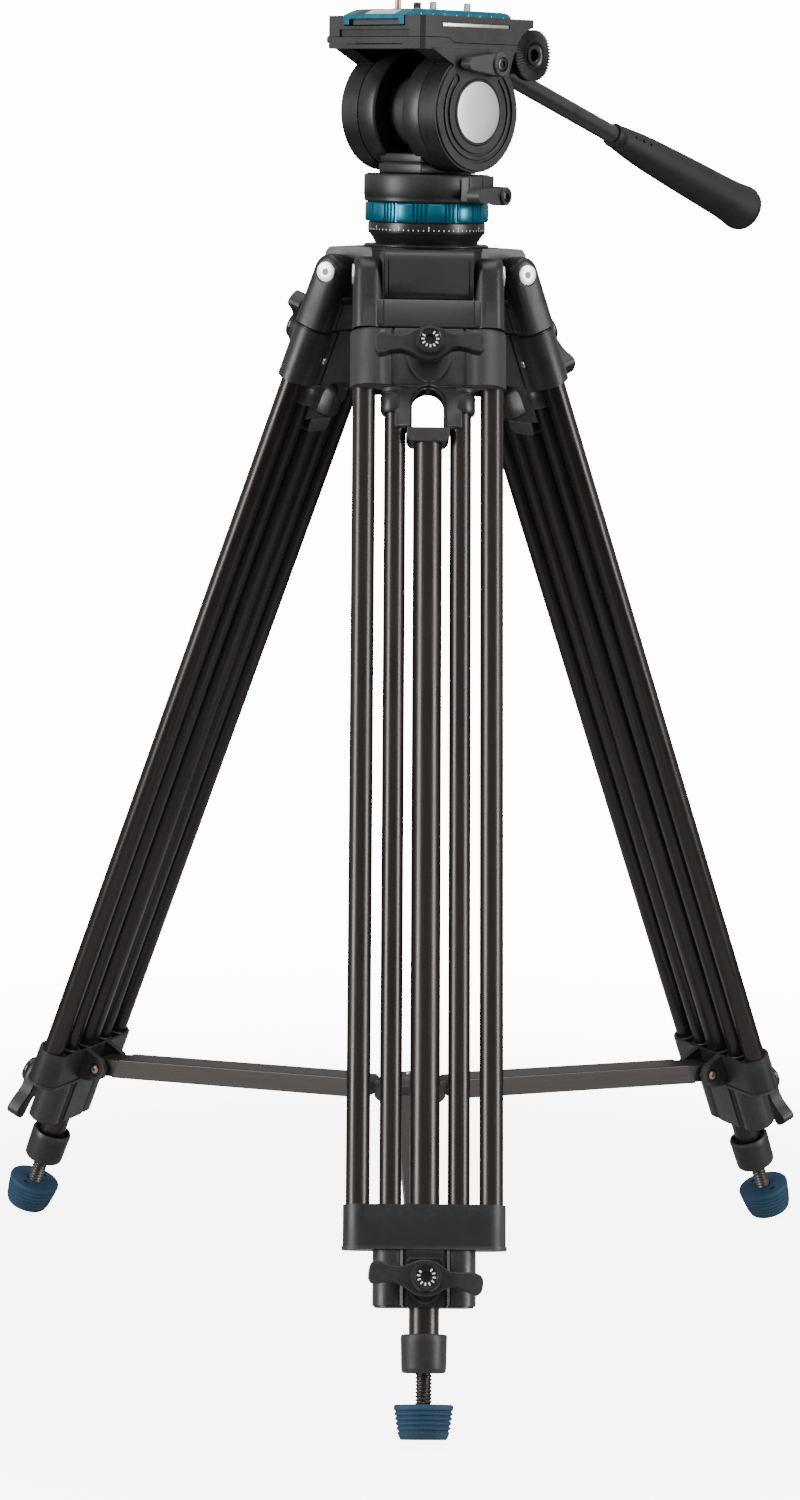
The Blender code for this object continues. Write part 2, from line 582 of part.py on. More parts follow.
def build_head():
    head = empty("frame_head", Matrix.Rotation(HEAD_YAW, 4, "Z"))
    place("pan_base", pan_base(), "casting", head)
    lever = teardrop_lever(0.0058, 0.0042, 0.0246, 0.0110)
    lever_at = LUG_TURN @ Matrix.Translation((-0.0092, 0.0433, 0.7050))
    facing = Matrix.Rotation(math.radians(-90.0), 4, "X")
    place("pan_lever", moved(lever, lever_at @ facing), "casting", head, lever_at.translation)
    place("yoke", yoke(), "casting", head)

    for name, side in (("left", -1.0), ("right", 1.0)):
        place(f"tilt_drum_{name}", tilt_drum(side), "casting", head, (0.0, 0.0, TILT_Z))
        face = side * (DRUM_FACE + GAP)
        badge = rod((face, 0.0, TILT_Z), (face + side * 0.0008, 0.0, TILT_Z), 0.0190, sides=36)
        place(f"badge_{name}", badge, "silver", head, (face, 0.0, TILT_Z))
        place(f"rosette_{name}", rosette(side), "casting", head, (side * 0.034, ROSETTE_Y, ROSETTE_Z))
    place("platform", platform(), "casting", head, (0.0, 0.0, TILT_Z))
    place("plate_clamp", plate_clamp(), "casting", head, (0.0, 0.0, TILT_Z))

    tilt_lever = teardrop_lever(0.0074, 0.0040, 0.0245, 0.0085)
    tilt_at = Matrix.Translation((-0.0436, -0.0105, 0.7845))
    facing = Matrix(((0, 0, -1, 0), (1, 0, 0, 0), (0, -1, 0, 0), (0, 0, 0, 1)))
    place("tilt_lever", moved(tilt_lever, tilt_at @ facing), "casting", head, tilt_at.translation)

    px = PLATE_HALF_X
    plate = brick((-px, PLATE_REAR, 0.8065), (px, PLATE_FRONT, 0.8165), 0.0015, 1, edges=1)
    groove = brick((-0.0065, -0.06, 0.8157), (0.0065, 0.06, 0.82))
    place("quick_plate", cut(plate, groove), "teal", head, (0.0, 0.0, 0.8065))
    top = 0.8157 + GAP
    for name, y, radius, tall, look in (
        ("camera_screw", -0.0021, 0.0025, 0.8225, "silver"),
        ("spare_screw", -0.0327, 0.0025, 0.8225, "silver"),
        ("locating_pin", 0.0120, 0.0027, 0.8216, "casting"),
        ("front_pin", 0.0288, 0.0021, 0.8228, "brass"),
    ):
        flange = rod((0.0, y, top), (0.0, y, top + 0.0008), radius + 0.0015, sides=20)
        stud = rod((0.0, y, top), (0.0, y, tall), radius, sides=16)
        place(name, joined(flange, stud), look, head, (0.0, y, top))

    px = PLATFORM_HALF[0] + GAP
    lock = joined(
        rod((px, 0.0200, 0.7985), (px + 0.0150, 0.0200, 0.7985), 0.0055, sides=20),
        brick((px + 0.006, 0.0040, 0.7955), (px + 0.0130, 0.0360, 0.8015)),
    )
    place("plate_lock_knob", lock, "casting", head, (px, 0.0200, 0.7985))

    place("bar_clamp", bar_clamp(), "casting", head, (0.0423, ROSETTE_Y, ROSETTE_Z))
    place("bar_tube", bar_tube(), "tube", head, (0.0423, ROSETTE_Y, ROSETTE_Z))
    place("bar_grip", bar_grip(), "grip", head, (0.0423, ROSETTE_Y, ROSETTE_Z))
    knob = joined(
        rod((0.0603, ROSETTE_Y, ROSETTE_Z), (0.0650, ROSETTE_Y, ROSETTE_Z), 0.0070, sides=20),
        rod((0.0640, ROSETTE_Y, ROSETTE_Z), (0.0760, ROSETTE_Y, ROSETTE_Z), 0.0130, sides=28),
    )
    place("bar_knob", knob, "casting", head, (0.0603, ROSETTE_Y, ROSETTE_Z))


clear_scene()
PARTS = collection("tripod_with_fluid_head")
LOOKS = {name: material(name) for name in COLOURS}
# The clamp lug faces 38 degrees to the right of the tripod's front, as seen from above.
LUG_TURN = Matrix.Rotation(math.radians(-38.0 - 90.0) - HEAD_YAW, 4, "Z")
build_legs()
build_crown()
build_head()
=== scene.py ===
"""Looks of the video tripod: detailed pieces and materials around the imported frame."""
import json
import math

import bmesh
import bpy
from mathutils import Matrix, Vector


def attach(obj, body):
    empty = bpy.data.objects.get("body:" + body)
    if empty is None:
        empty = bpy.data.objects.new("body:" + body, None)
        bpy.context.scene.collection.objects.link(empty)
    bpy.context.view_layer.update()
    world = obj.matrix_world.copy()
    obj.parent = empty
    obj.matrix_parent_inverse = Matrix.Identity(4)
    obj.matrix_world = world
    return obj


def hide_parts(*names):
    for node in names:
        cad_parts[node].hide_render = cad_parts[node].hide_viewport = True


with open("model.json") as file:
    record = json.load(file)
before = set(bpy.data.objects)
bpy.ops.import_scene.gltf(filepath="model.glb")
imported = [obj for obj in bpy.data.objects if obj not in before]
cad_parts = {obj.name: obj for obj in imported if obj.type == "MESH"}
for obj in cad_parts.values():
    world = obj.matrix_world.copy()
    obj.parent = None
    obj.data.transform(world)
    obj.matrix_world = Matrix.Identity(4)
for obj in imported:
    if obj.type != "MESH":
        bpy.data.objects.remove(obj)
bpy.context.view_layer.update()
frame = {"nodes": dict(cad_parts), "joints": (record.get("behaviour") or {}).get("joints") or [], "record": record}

JOINTS = {joint["name"]: joint for joint in frame["joints"]}
LEGS = ("front", "right", "left")
SIDES = (("left", -1.0), ("right", 1.0))
UP = Vector((0.0, 0.0, 1.0))
EDGE_ANGLE = math.radians(32.0)
SHARP_ANGLE = math.radians(38.0)


# ---------------------------------------------------------------- frames read from the joints
def at(joint):
    return Vector(JOINTS[joint]["pos_m"])


def along(joint):
    return Vector(JOINTS[joint]["axis"]).normalized()


def basis(origin, x_axis, y_axis, z_axis):
    return Matrix.Translation(origin) @ Matrix((x_axis, y_axis, z_axis)).transposed().to_4x4()


def leg_frame(leg):
    """Origin on the hinge, +Y out of the outer face, +Z back up the leg."""
    y_axis = along(f"{leg}_upper_knob_turn")
    z_axis = -along(f"{leg}_upper_slide")
    return basis(at(f"{leg}_leg_fold"), y_axis.cross(z_axis), y_axis, z_axis)


def arm_frame(leg):
    """Origin on the arm's bracket pivot, +X towards the hub, +Z up."""
    pivot = at(f"{leg}_arm_fold")
    hinge = at(f"{leg}_leg_fold")
    outward = Vector((hinge.x, hinge.y, 0.0)).normalized()
    hub = at("hub_level")
    target = outward * Vector((hub.x, hub.y, 0.0)).length + UP * hub.z
    x_axis = (target - pivot).normalized()
    y_axis = UP.cross(x_axis).normalized()
    return basis(pivot, x_axis, y_axis, x_axis.cross(y_axis)), (target - pivot).length


def head_frame():
    """Origin on the floor under the pan axis, +Y where a camera looks, +X the operator's right."""
    x_axis = along("tilt")
    return basis(Vector(), x_axis, UP.cross(x_axis), UP)


HEAD = head_frame()
TILT_Z = at("tilt").z


# ---------------------------------------------------------------- materials
class Look:
    """A Principled material under construction, with short calls for its nodes."""

    def __init__(self, name, colour, roughness, metallic=0.0):
        self.material = bpy.data.materials.new(name)
        self.material.use_nodes = True
        self.tree = self.material.node_tree
        self.shader = self.tree.nodes["Principled BSDF"]
        self.put("Base Color", (*colour, 1.0))
        self.put("Roughness", roughness)
        self.put("Metallic", metallic)
        self.coords = self.tree.nodes.new("ShaderNodeTexCoord").outputs["Object"]

    def put(self, socket, value):
        self.shader.inputs[socket].default_value = value

    def node(self, kind, **settings):
        made = self.tree.nodes.new(kind)
        for key, value in settings.items():
            setattr(made, key, value)
        return made

    def link(self, source, target):
        self.tree.links.new(source, target)

    def stretched(self, scale):
        """Object coordinates, stretched along an axis for brushing."""
        mapping = self.node("ShaderNodeMapping")
        mapping.inputs["Scale"].default_value = scale
        self.link(self.coords, mapping.inputs["Vector"])
        return mapping.outputs["Vector"]

    def noise(self, scale, detail=4.0, roughness=0.55, vector=None):
        made = self.node("ShaderNodeTexNoise")
        made.inputs["Scale"].default_value = scale
        made.inputs["Detail"].default_value = detail
        made.inputs["Roughness"].default_value = roughness
        self.link(vector or self.coords, made.inputs["Vector"])
        return made.outputs["Fac"]

    def ramp(self, source, stops):
        made = self.node("ShaderNodeValToRGB")
        while len(made.color_ramp.elements) < len(stops):
            made.color_ramp.elements.new(0.5)
        for element, (position, value) in zip(made.color_ramp.elements, stops):
            element.position = position
            colour = value if isinstance(value, tuple) else (value, value, value)
            element.color = (*colour, 1.0)
        self.link(source, made.inputs["Fac"])
        return made.outputs["Color"]

    def colour_between(self, source, low, high, colours):
        self.link(self.ramp(source, ((low, colours[0]), (high, colours[1]))),
            self.shader.inputs["Base Color"])

    def roughness_between(self, source, low, high, values):
        self.link(self.ramp(source, ((low, values[0]), (high, values[1]))), self.shader.inputs["Roughness"])

    def bump(self, *layers):
        """Layers of (height source, distance in metres, strength), chained."""
        normal = None
        for source, distance, strength in layers:
            made = self.node("ShaderNodeBump")
            made.inputs["Distance"].default_value = distance
            made.inputs["Strength"].default_value = strength
            self.link(source, made.inputs["Height"])
            if normal is not None:
                self.link(normal, made.inputs["Normal"])
            normal = made.outputs["Normal"]
        self.link(normal, self.shader.inputs["Normal"])

    def edge_wear(self, low, high, base, worn):
        """Lighter rubbed edges, broken up by noise."""
        geometry = self.node("ShaderNodeNewGeometry")
        broken = self.noise(260.0, 3.0)
        mix = self.node("ShaderNodeMath", operation="MULTIPLY_ADD")
        mix.inputs[1].default_value = 0.06
        self.link(broken, mix.inputs[0])
        self.link(geometry.outputs["Pointiness"], mix.inputs[2])
        self.colour_between(mix.outputs["Value"], low, high, (base, worn))


def casting_look(name, shade=0.018, roughness=0.42, grain=1.0):
    """Powder-coated black casting or glass-filled moulding: fine orange peel and rubbed edges."""
    look = Look(name, (shade, shade, shade), roughness)
    look.put("Specular IOR Level", 0.34)
    look.edge_wear(0.545, 0.62, (shade, shade * 0.99, shade * 0.98), (shade * 3.2, shade * 3.1, shade * 3.0))
    patches = look.noise(38.0, 3.0)
    look.roughness_between(patches, 0.3, 0.75, (roughness - 0.06, roughness + 0.10))
    look.bump((look.noise(2600.0, 2.0), 0.00010 * grain, 0.25), (patches, 0.0004, 0.04))
    return look.material


def tube_look(name):
    """Dark bronze-black anodised tube with faint drawing lines along it."""
    look = Look(name, (0.030, 0.026, 0.024), 0.30, 0.70)
    lines = look.noise(60.0, 5.0, 0.7, look.stretched((40.0, 40.0, 0.35)))
    look.colour_between(lines, 0.30, 0.75, ((0.020, 0.0175, 0.0165), (0.038, 0.032, 0.029)))
    look.roughness_between(look.noise(25.0, 4.0), 0.3, 0.8, (0.25, 0.38))
    look.bump((lines, 0.00003, 0.35))
    return look.material


def arm_look(name):
    """Grey-brown anodised rectangular tube, brushed along its length."""
    look = Look(name, (0.150, 0.128, 0.112), 0.42, 0.55)
    lines = look.noise(50.0, 5.0, 0.7, look.stretched((0.4, 45.0, 45.0)))
    look.colour_between(lines, 0.30, 0.72, ((0.030, 0.026, 0.023), (0.054, 0.046, 0.041)))
    look.roughness_between(lines, 0.2, 0.8, (0.36, 0.48))
    look.bump((lines, 0.00003, 0.30))
    return look.material


def teal_look(name, roughness=0.32):
    """Teal anodised aluminium."""
    look = Look(name, (0.010, 0.200, 0.270), roughness, 0.55)
    patches = look.noise(70.0, 4.0)
    look.colour_between(patches, 0.25, 0.75, ((0.003, 0.095, 0.150), (0.008, 0.150, 0.215)))
    look.roughness_between(patches, 0.3, 0.8, (roughness - 0.05, roughness + 0.08))
    look.bump((look.noise(1800.0, 3.0), 0.00004, 0.25))
    return look.material


def silver_look(name, stretch=(1.0, 1.0, 1.0), colour=(0.62, 0.61, 0.59), roughness=0.34):
    """Bright metal with fine brushing along the least-stretched axis."""
    look = Look(name, colour, roughness, 0.9)
    lines = look.noise(140.0, 5.0, 0.7, look.stretched(stretch))
    dark = tuple(c * 0.80 for c in colour)
    look.colour_between(lines, 0.25, 0.8, (dark, colour))
    look.roughness_between(lines, 0.2, 0.8, (roughness - 0.06, roughness + 0.10))
    look.bump((lines, 0.00003, 0.30))
    return look.material


def rubber_look(name, low, high, roughness=0.68, grain=900.0):
    """Soft rubber: a fine pebble, and a bloom that varies the sheen."""
    look = Look(name, high, roughness)
    look.put("Specular IOR Level", 0.35)
    patches = look.noise(45.0, 4.0)
    look.colour_between(patches, 0.3, 0.75, (low, high))
    look.roughness_between(patches, 0.25, 0.8, (roughness - 0.08, roughness + 0.12))
    look.bump((look.noise(grain, 3.0), 0.00018, 0.35), (patches, 0.0005, 0.05))
    return look.material


def white_look(name):
    """White printed mark."""
    look = Look(name, (0.75, 0.75, 0.73), 0.5)
    look.colour_between(look.noise(900.0, 2.0), 0.3, 0.7, ((0.55, 0.55, 0.53), (0.80, 0.80, 0.78)))
    return look.material


LOOKS = {
    "casting": casting_look("satin_casting", 0.0085, 0.40),
    "gloss": casting_look("smooth_casting", 0.006, 0.28, 0.5),
    "moulding": casting_look("moulded_plastic", 0.0095, 0.46, 1.4), "tube": tube_look("bronze_tube"),
    "arm": arm_look("spreader_tube"), "teal": teal_look("teal_anodised"),
    "silver": silver_look("bright_steel"),
    "washer": silver_look("white_washer", (1.0, 1.0, 1.0), (0.84, 0.84, 0.82), 0.42),
    "badge": silver_look("badge_metal", (1.0, 26.0, 2.0), (0.56, 0.55, 0.53), 0.36),
    "brass": silver_look("warm_metal", (1.0, 1.0, 1.0), (0.52, 0.34, 0.22), 0.34),
    "dark_metal": silver_look("dark_metal", (1.0, 1.0, 1.0), (0.10, 0.09, 0.085), 0.40),
    "rubber": rubber_look("blue_rubber", (0.004, 0.024, 0.050), (0.008, 0.040, 0.078)),
    "grip": rubber_look("grip_foam", (0.007, 0.0068, 0.0068), (0.013, 0.0125, 0.0125), 0.62, 1400.0),
    # teeth: the casting made about four times lighter, a painted highlight so the rosette's teeth read as lit
    # crests
    "white": white_look("white_mark"), "teeth": casting_look("teeth_painted_highlight", 0.034, 0.36, 0.6),
    "pad": rubber_look("pad_rubber", (0.16, 0.16, 0.155), (0.24, 0.24, 0.235), 0.75, 1800.0),
    "pale": silver_look("pale_patch", (1.0, 1.0, 1.0), (0.72, 0.73, 0.72), 0.5),
    "bar": casting_look("bar_coating", 0.012, 0.36, 0.6),
}


# Looks whose grain follows their piece's own axes.
BRUSHED = ("tube", "arm", "badge")


# ---------------------------------------------------------------- mesh building
def from_bmesh(bm, fix=True):
    if fix:
        bmesh.ops.recalc_face_normals(bm, faces=bm.faces)
    mesh = bpy.data.meshes.new("piece")
    bm.to_mesh(mesh)
    bm.free()
    return mesh


def block(low, high, bevel=0.0, segments=3, axis=None):
    """A box, with all edges rounded or only those parallel to one axis (0, 1 or 2)."""
    low, high = Vector(low), Vector(high)
    bm = bmesh.new()
    bmesh.ops.create_cube(bm, size=1.0)
    bmesh.ops.scale(bm, vec=high - low, verts=bm.verts)
    bmesh.ops.translate(bm, vec=(low + high) / 2.0, verts=bm.verts)
    if bevel:
        edges = list(bm.edges)
        if axis is not None:
            edges = [e for e in bm.edges if abs((e.verts[0].co - e.verts[1].co).normalized()[axis]) > 0.9]
        bmesh.ops.bevel(
            bm, geom=edges, offset=bevel, offset_type="OFFSET", segments=segments, profile=0.5,
            affect="EDGES", clamp_overlap=True,
        )
    return from_bmesh(bm)


def rings(sections):
    """A skin over rings of points; each end is closed with one face."""
    bm = bmesh.new()
    rows = [[bm.verts.new(p) for p in ring] for ring in sections]
    count = len(rows[0])
    for low, high in zip(rows, rows[1:]):
        for i in range(count):
            bm.faces.new((low[i], low[(i + 1) % count], high[(i + 1) % count], high[i]))
    bm.faces.new(list(reversed(rows[0])))
    bm.faces.new(rows[-1])
    return from_bmesh(bm)


def looped(sections):
    """A skin over rings of points whose last ring joins the first, such as a turned ring."""
    bm = bmesh.new()
    rows = [[bm.verts.new(p) for p in ring] for ring in sections]
    count = len(rows[0])
    for low, high in zip(rows, rows[1:] + rows[:1]):
        for i in range(count):
            bm.faces.new((low[i], low[(i + 1) % count], high[(i + 1) % count], high[i]))
    return from_bmesh(bm)


def circle(radius, z, steps=64):
    turn = 2.0 * math.pi / steps
    return [Vector((radius * math.cos(i * turn), radius * math.sin(i * turn), z)) for i in range(steps)]


def turned(profile, steps=64, ring=False):
    """A solid of revolution about Z from (radius, height) points; ring leaves its middle open."""
    sections = [circle(radius, z, steps) for radius, z in profile]
    return looped(sections) if ring else rings(sections)


def aimed(mesh, start, direction):
    """Moves a mesh built along +Z from the origin so that it starts at a point and runs along a direction."""
    turn = UP.rotation_difference(Vector(direction)).to_matrix().to_4x4()
    mesh.transform(Matrix.Translation(Vector(start)) @ turn)
    return mesh


def rod(start, end, radius, steps=48, chamfer=0.0):
    """A round bar between two points."""
    start, end = Vector(start), Vector(end)
    length = (end - start).length
    profile = [(radius, 0.0), (radius, length)]
    if chamfer:
        profile = [(radius - chamfer, 0.0), (radius, chamfer),
                   (radius, length - chamfer), (radius - chamfer, length)]
    return aimed(turned(profile, steps), start, end - start)


def oval(half_u, half_v, power=2.0, steps=48):
    """Points of a superellipse: power 2 is an ellipse, higher powers square it."""
    points = []
    for i in range(steps):
        a = 2.0 * math.pi * i / steps
        c, s = math.cos(a), math.sin(a)
        points.append((
            half_u * math.copysign(abs(c) ** (2.0 / power), c),
            half_v * math.copysign(abs(s) ** (2.0 / power), s),
        ))
    return points


def prism(outline, low, high, axis):
    """A flat outline pushed through an axis: "X" takes (y, z), "Y" takes (x, z), "Z" takes (x, y)."""
    place = {
        "X": lambda u, v, w: Vector((w, u, v)), "Y": lambda u, v, w: Vector((u, w, v)),
        "Z": lambda u, v, w: Vector((u, v, w)),
    }[axis]
    return rings([[place(u, v, level) for u, v in outline] for level in (low, high)])


def arc(centre, radius, start, end, count):
    """Points on a circle, between two angles in degrees."""
    angles = [math.radians(start + (end - start) * i / count) for i in range(count + 1)]
    return [(centre[0] + radius * math.cos(a), centre[1] + radius * math.sin(a)) for a in angles]


def temporary(mesh):
    made = bpy.data.objects.new("temporary", mesh)
    bpy.context.scene.collection.objects.link(made)
    return made


def applied(obj):
    depsgraph = bpy.context.evaluated_depsgraph_get()
    mesh = bpy.data.meshes.new_from_object(obj.evaluated_get(depsgraph))
    bpy.data.objects.remove(obj, do_unlink=True)
    return mesh


def combined(base, tools, operation):
    for tool in tools:
        target, other = temporary(base), temporary(tool)
        step = target.modifiers.new("Boolean", "BOOLEAN")
        step.operation = operation
        step.solver = "EXACT"
        step.object = other
        base = applied(target)
        bpy.data.objects.remove(other, do_unlink=True)
    return base


def joined(base, *tools):
    return combined(base, tools, "UNION")


def cut(base, *tools):
    return combined(base, tools, "DIFFERENCE")


def gathered(meshes):
    """One mesh of several separate small shapes, such as a ring of marks."""
    bm = bmesh.new()
    for mesh in meshes:
        bm.from_mesh(mesh)
    return from_bmesh(bm, fix=False)


def moved(mesh, matrix):
    copy = mesh.copy()
    copy.transform(matrix)
    return copy


def add(name, mesh, look, body, matrix=None, replaces=(), bevel=0.0, segments=2):
    """A named piece on its body, standing for its CAD nodes, with softly rounded edges."""
    mesh = mesh.copy()
    mesh.name = name
    mesh.materials.clear()
    mesh.materials.append(LOOKS[look])
    mesh.shade_smooth()
    if matrix is not None and look not in BRUSHED:
        mesh.transform(matrix)
    made = bpy.data.objects.new(name, mesh)
    bpy.context.scene.collection.objects.link(made)
    if matrix is not None and look in BRUSHED:
        made.matrix_world = matrix
    if bevel:
        step = made.modifiers.new("Edges", "BEVEL")
        step.width = bevel
        step.segments = segments
        step.limit_method = "ANGLE"
        step.angle_limit = EDGE_ANGLE
        step.harden_normals = True
    else:
        mesh.set_sharp_from_angle(angle=SHARP_ANGLE)
    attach(made, body)
    if replaces:
        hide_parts(*replaces)
    return made


def on_head(name, mesh, look, body, replaces=(), bevel=0.0, segments=2):
    """A piece built in the head's frame."""
    return add(name, mesh, look, body, HEAD, replaces, bevel, segments)


# ---------------------------------------------------------------- stage
def softbox(name, location, target, size, energy):
    data = bpy.data.lights.new(name, "AREA")
    data.shape = "RECTANGLE"
    data.size, data.size_y = size
    data.energy = energy
    lamp = bpy.data.objects.new(name, data)
    bpy.context.scene.collection.objects.link(lamp)
    lamp.location = location
    lamp.rotation_euler = (Vector(target) - Vector(location)).to_track_quat("-Z", "Y").to_euler()


WORLD_LIGHT = 0.46
BACKDROP_WHITE = 14.0
FLOOR_FADE = 0.45
FLOOR_HALF, FLOOR_LOW, FLOOR_TOP = 8.0, -0.02, -0.0002
FADE_START, FADE_END = 0.30, 0.95
SIDE_BOX_SIZE, TOP_BOX_SIZE = (0.7, 2.0), (2.0, 2.0)
LEG_MIDDLE, LEG_LOW = (0.0, 0.0, 0.42), (0.0, 0.0, 0.2)
LENS, SENSOR = 85.3, 36.0
CAMERA_AT = Vector((-0.0864, -2.2367, 0.7465))
HEADING, DOWN, LEAN = 0.0339, 0.1738, 0.0184


def studio():
    """A pale floor that fades into a white backdrop, two tall softboxes and one overhead."""
    corners = ((-1, -1), (1, -1), (1, 1), (-1, 1))
    floor_mesh = rings([[Vector((x * FLOOR_HALF, y * FLOOR_HALF, z)) for x, y in corners]
                        for z in (FLOOR_LOW, FLOOR_TOP)])
    floor = bpy.data.objects.new("floor", floor_mesh)
    bpy.context.scene.collection.objects.link(floor)
    look = Look("pale_floor", (0.86, 0.86, 0.86), 0.7)
    look.colour_between(look.noise(3.0), 0.2, 0.8, ((0.85, 0.85, 0.85), (0.87, 0.87, 0.87)))
    glow = look.node("ShaderNodeEmission")
    seen = look.node("ShaderNodeLightPath")
    share = look.node("ShaderNodeMath", operation="MULTIPLY")
    share.inputs[1].default_value = BACKDROP_WHITE
    look.link(seen.outputs["Is Camera Ray"], share.inputs[0])
    look.link(share.outputs["Value"], glow.inputs["Strength"])
    place = look.node("ShaderNodeNewGeometry")
    away = look.node("ShaderNodeVectorMath", operation="LENGTH")
    look.link(place.outputs["Position"], away.inputs[0])
    fade = look.node("ShaderNodeMapRange", interpolation_type="SMOOTHSTEP")
    fade.inputs["From Min"].default_value = FADE_START
    fade.inputs["From Max"].default_value = FADE_END
    fade.inputs["To Min"].default_value = FLOOR_FADE
    fade.inputs["To Max"].default_value = 1.0
    look.link(away.outputs["Value"], fade.inputs["Value"])
    both = look.node("ShaderNodeMixShader")
    look.link(fade.outputs["Result"], both.inputs["Fac"])
    look.link(look.shader.outputs["BSDF"], both.inputs[1])
    look.link(glow.outputs["Emission"], both.inputs[2])
    look.link(both.outputs["Shader"], look.tree.nodes["Material Output"].inputs["Surface"])
    floor_mesh.materials.append(look.material)

    world = bpy.data.worlds.new("studio")
    world.use_nodes = True
    nodes, links = world.node_tree.nodes, world.node_tree.links
    background = nodes["Background"]
    background.inputs["Color"].default_value = (1.0, 1.0, 1.0, 1.0)
    background.inputs["Strength"].default_value = WORLD_LIGHT
    backdrop = nodes.new("ShaderNodeBackground")
    backdrop.inputs["Color"].default_value = (1.0, 1.0, 1.0, 1.0)
    backdrop.inputs["Strength"].default_value = BACKDROP_WHITE
    seen = nodes.new("ShaderNodeLightPath")
    mix = nodes.new("ShaderNodeMixShader")
    links.new(seen.outputs["Is Camera Ray"], mix.inputs["Fac"])
    links.new(background.outputs["Background"], mix.inputs[1])
    links.new(backdrop.outputs["Background"], mix.inputs[2])
    links.new(mix.outputs["Shader"], nodes["World Output"].inputs["Surface"])
    bpy.context.scene.world = world
    softbox("left_box", (-2.3, -1.1, 0.9), LEG_MIDDLE, SIDE_BOX_SIZE, 105.0)
    softbox("right_box", (2.3, -1.1, 0.9), LEG_MIDDLE, SIDE_BOX_SIZE, 92.0)
    softbox("top", (0.0, -0.2, 2.6), LEG_LOW, TOP_BOX_SIZE, 52.0)


def camera():
    """Camera a little above the head's height, ten degrees down, turned by a degree."""
    data = bpy.data.cameras.new("camera")
    data.lens = LENS
    data.sensor_width = SENSOR
    data.clip_start = 0.05
    shooting = bpy.data.objects.new("camera", data)
    bpy.context.scene.collection.objects.link(shooting)
    level = math.cos(DOWN)
    forward = Vector((math.sin(HEADING) * level, math.cos(HEADING) * level, -math.sin(DOWN)))
    right = forward.cross(UP).normalized()
    above = right.cross(forward)
    x_axis = right * math.cos(LEAN) + above * math.sin(LEAN)
    y_axis = above * math.cos(LEAN) - right * math.sin(LEAN)
    shooting.matrix_world = basis(CAMERA_AT, x_axis, y_axis, -forward)
    bpy.context.scene.camera = shooting


camera()
studio()

# ---------------------------------------------------------------- shared small shapes
def hexagon(radius, low, high):
    return prism([(radius * math.cos(math.radians(60.0 * i)), radius * math.sin(math.radians(60.0 * i)))
        for i in range(6)], low, high, "Z")


def screw_head(radius, tall, key, steps=40):
    """A cap with a rounded rim and a hexagon socket, standing on z = 0."""
    rim = tall * 0.35
    cap = turned([(radius, 0.0), (radius, tall - rim), (radius - rim * 0.4, tall - rim * 0.3),
        (radius - rim, tall)], steps)
    return cut(cap, hexagon(key, tall * 0.35, tall * 2.0))


def thread(radius, depth, pitch, low, high, steps=24):
    """A screw thread along Z: a ridge that climbs by its pitch in each turn."""
    rows = int((high - low) / pitch * 6)
    sections = []
    for row in range(rows + 1):
        z = low + (high - low) * row / rows
        ring = []
        for i in range(steps):
            phase = ((z / pitch) - i / steps) % 1.0
            r = radius - depth * abs(2.0 * phase - 1.0)
            a = 2.0 * math.pi * i / steps
            ring.append(Vector((r * math.cos(a), r * math.sin(a), z)))
        sections.append(ring)
    return rings(sections)


def around(mesh, count):
    """Copies of a mesh spaced evenly about Z."""
    return gathered([moved(mesh, Matrix.Rotation(2.0 * math.pi * i / count, 4, "Z"))
        for i in range(count)])


def facing(origin, normal):
    """A matrix that takes a mesh standing on z = 0 to a point, standing along a direction."""
    turn = UP.rotation_difference(Vector(normal)).to_matrix().to_4x4()
    return Matrix.Translation(Vector(origin)) @ turn


def symmetric(half_outline):
    """A closed outline from its x >= 0 half, given from the -y side round to the +y side."""
    return half_outline + [(-x, y) for x, y in reversed(half_outline)]


GAP = 0.0003
OUTER_X, OUTER_R = 0.0389, 0.0070
INNER_X, INNER_R = 0.0199, 0.0065
CENTRE_R = 0.0088
FORK_END, COLLAR_END, SOCKET_END, BRIDGE_END, YOKE_END = -0.0370, -0.0727, -0.0890, -0.0985, -0.1080
BRACKET_TOP, BRACKET_END, LOWER_END = -0.5660, -0.5920, -0.6250
BOOT_TOP, BOOT_END, FOOT_TOP, FOOT_END = -0.6400, -0.6620, -0.6798, -0.6998
KNOB_UPPER_Z, KNOB_LOWER_Z = -0.0510, -0.6085
KNOB_TURNS = {"front": (0.0, -8.0), "right": (45.0, 60.0), "left": (45.0, -60.0)}
ARM_PIVOT = Vector((0.0, -0.0219, -0.5752))
ARM_HALF_W, ARM_HALF_H, ARM_END_GAP = 0.0100, 0.0065, 0.0060


# ---------------------------------------------------------------- leg pieces, in the leg's frame
def pillar(x):
    """Round-fronted post of the fork, with a domed top over the hinge."""
    def ring(z, half_u, half_v):
        return [Vector((x + u, v, z)) for u, v in oval(half_u, half_v, 2.7, 40)]
    sections = [ring(FORK_END + 0.0006, 0.0094, 0.0114), ring(-0.0180, 0.0093, 0.0113),
        ring(0.0, 0.0091, 0.0112)]
    for step in range(1, 10):
        a = math.radians(9.6 * step)
        sections.append(ring(0.0110 * math.sin(a), 0.0091 * (1.0 - 0.42 * (1.0 - math.cos(a)) ** 1.6),
            0.0112 * math.cos(a)))
    return rings(sections)


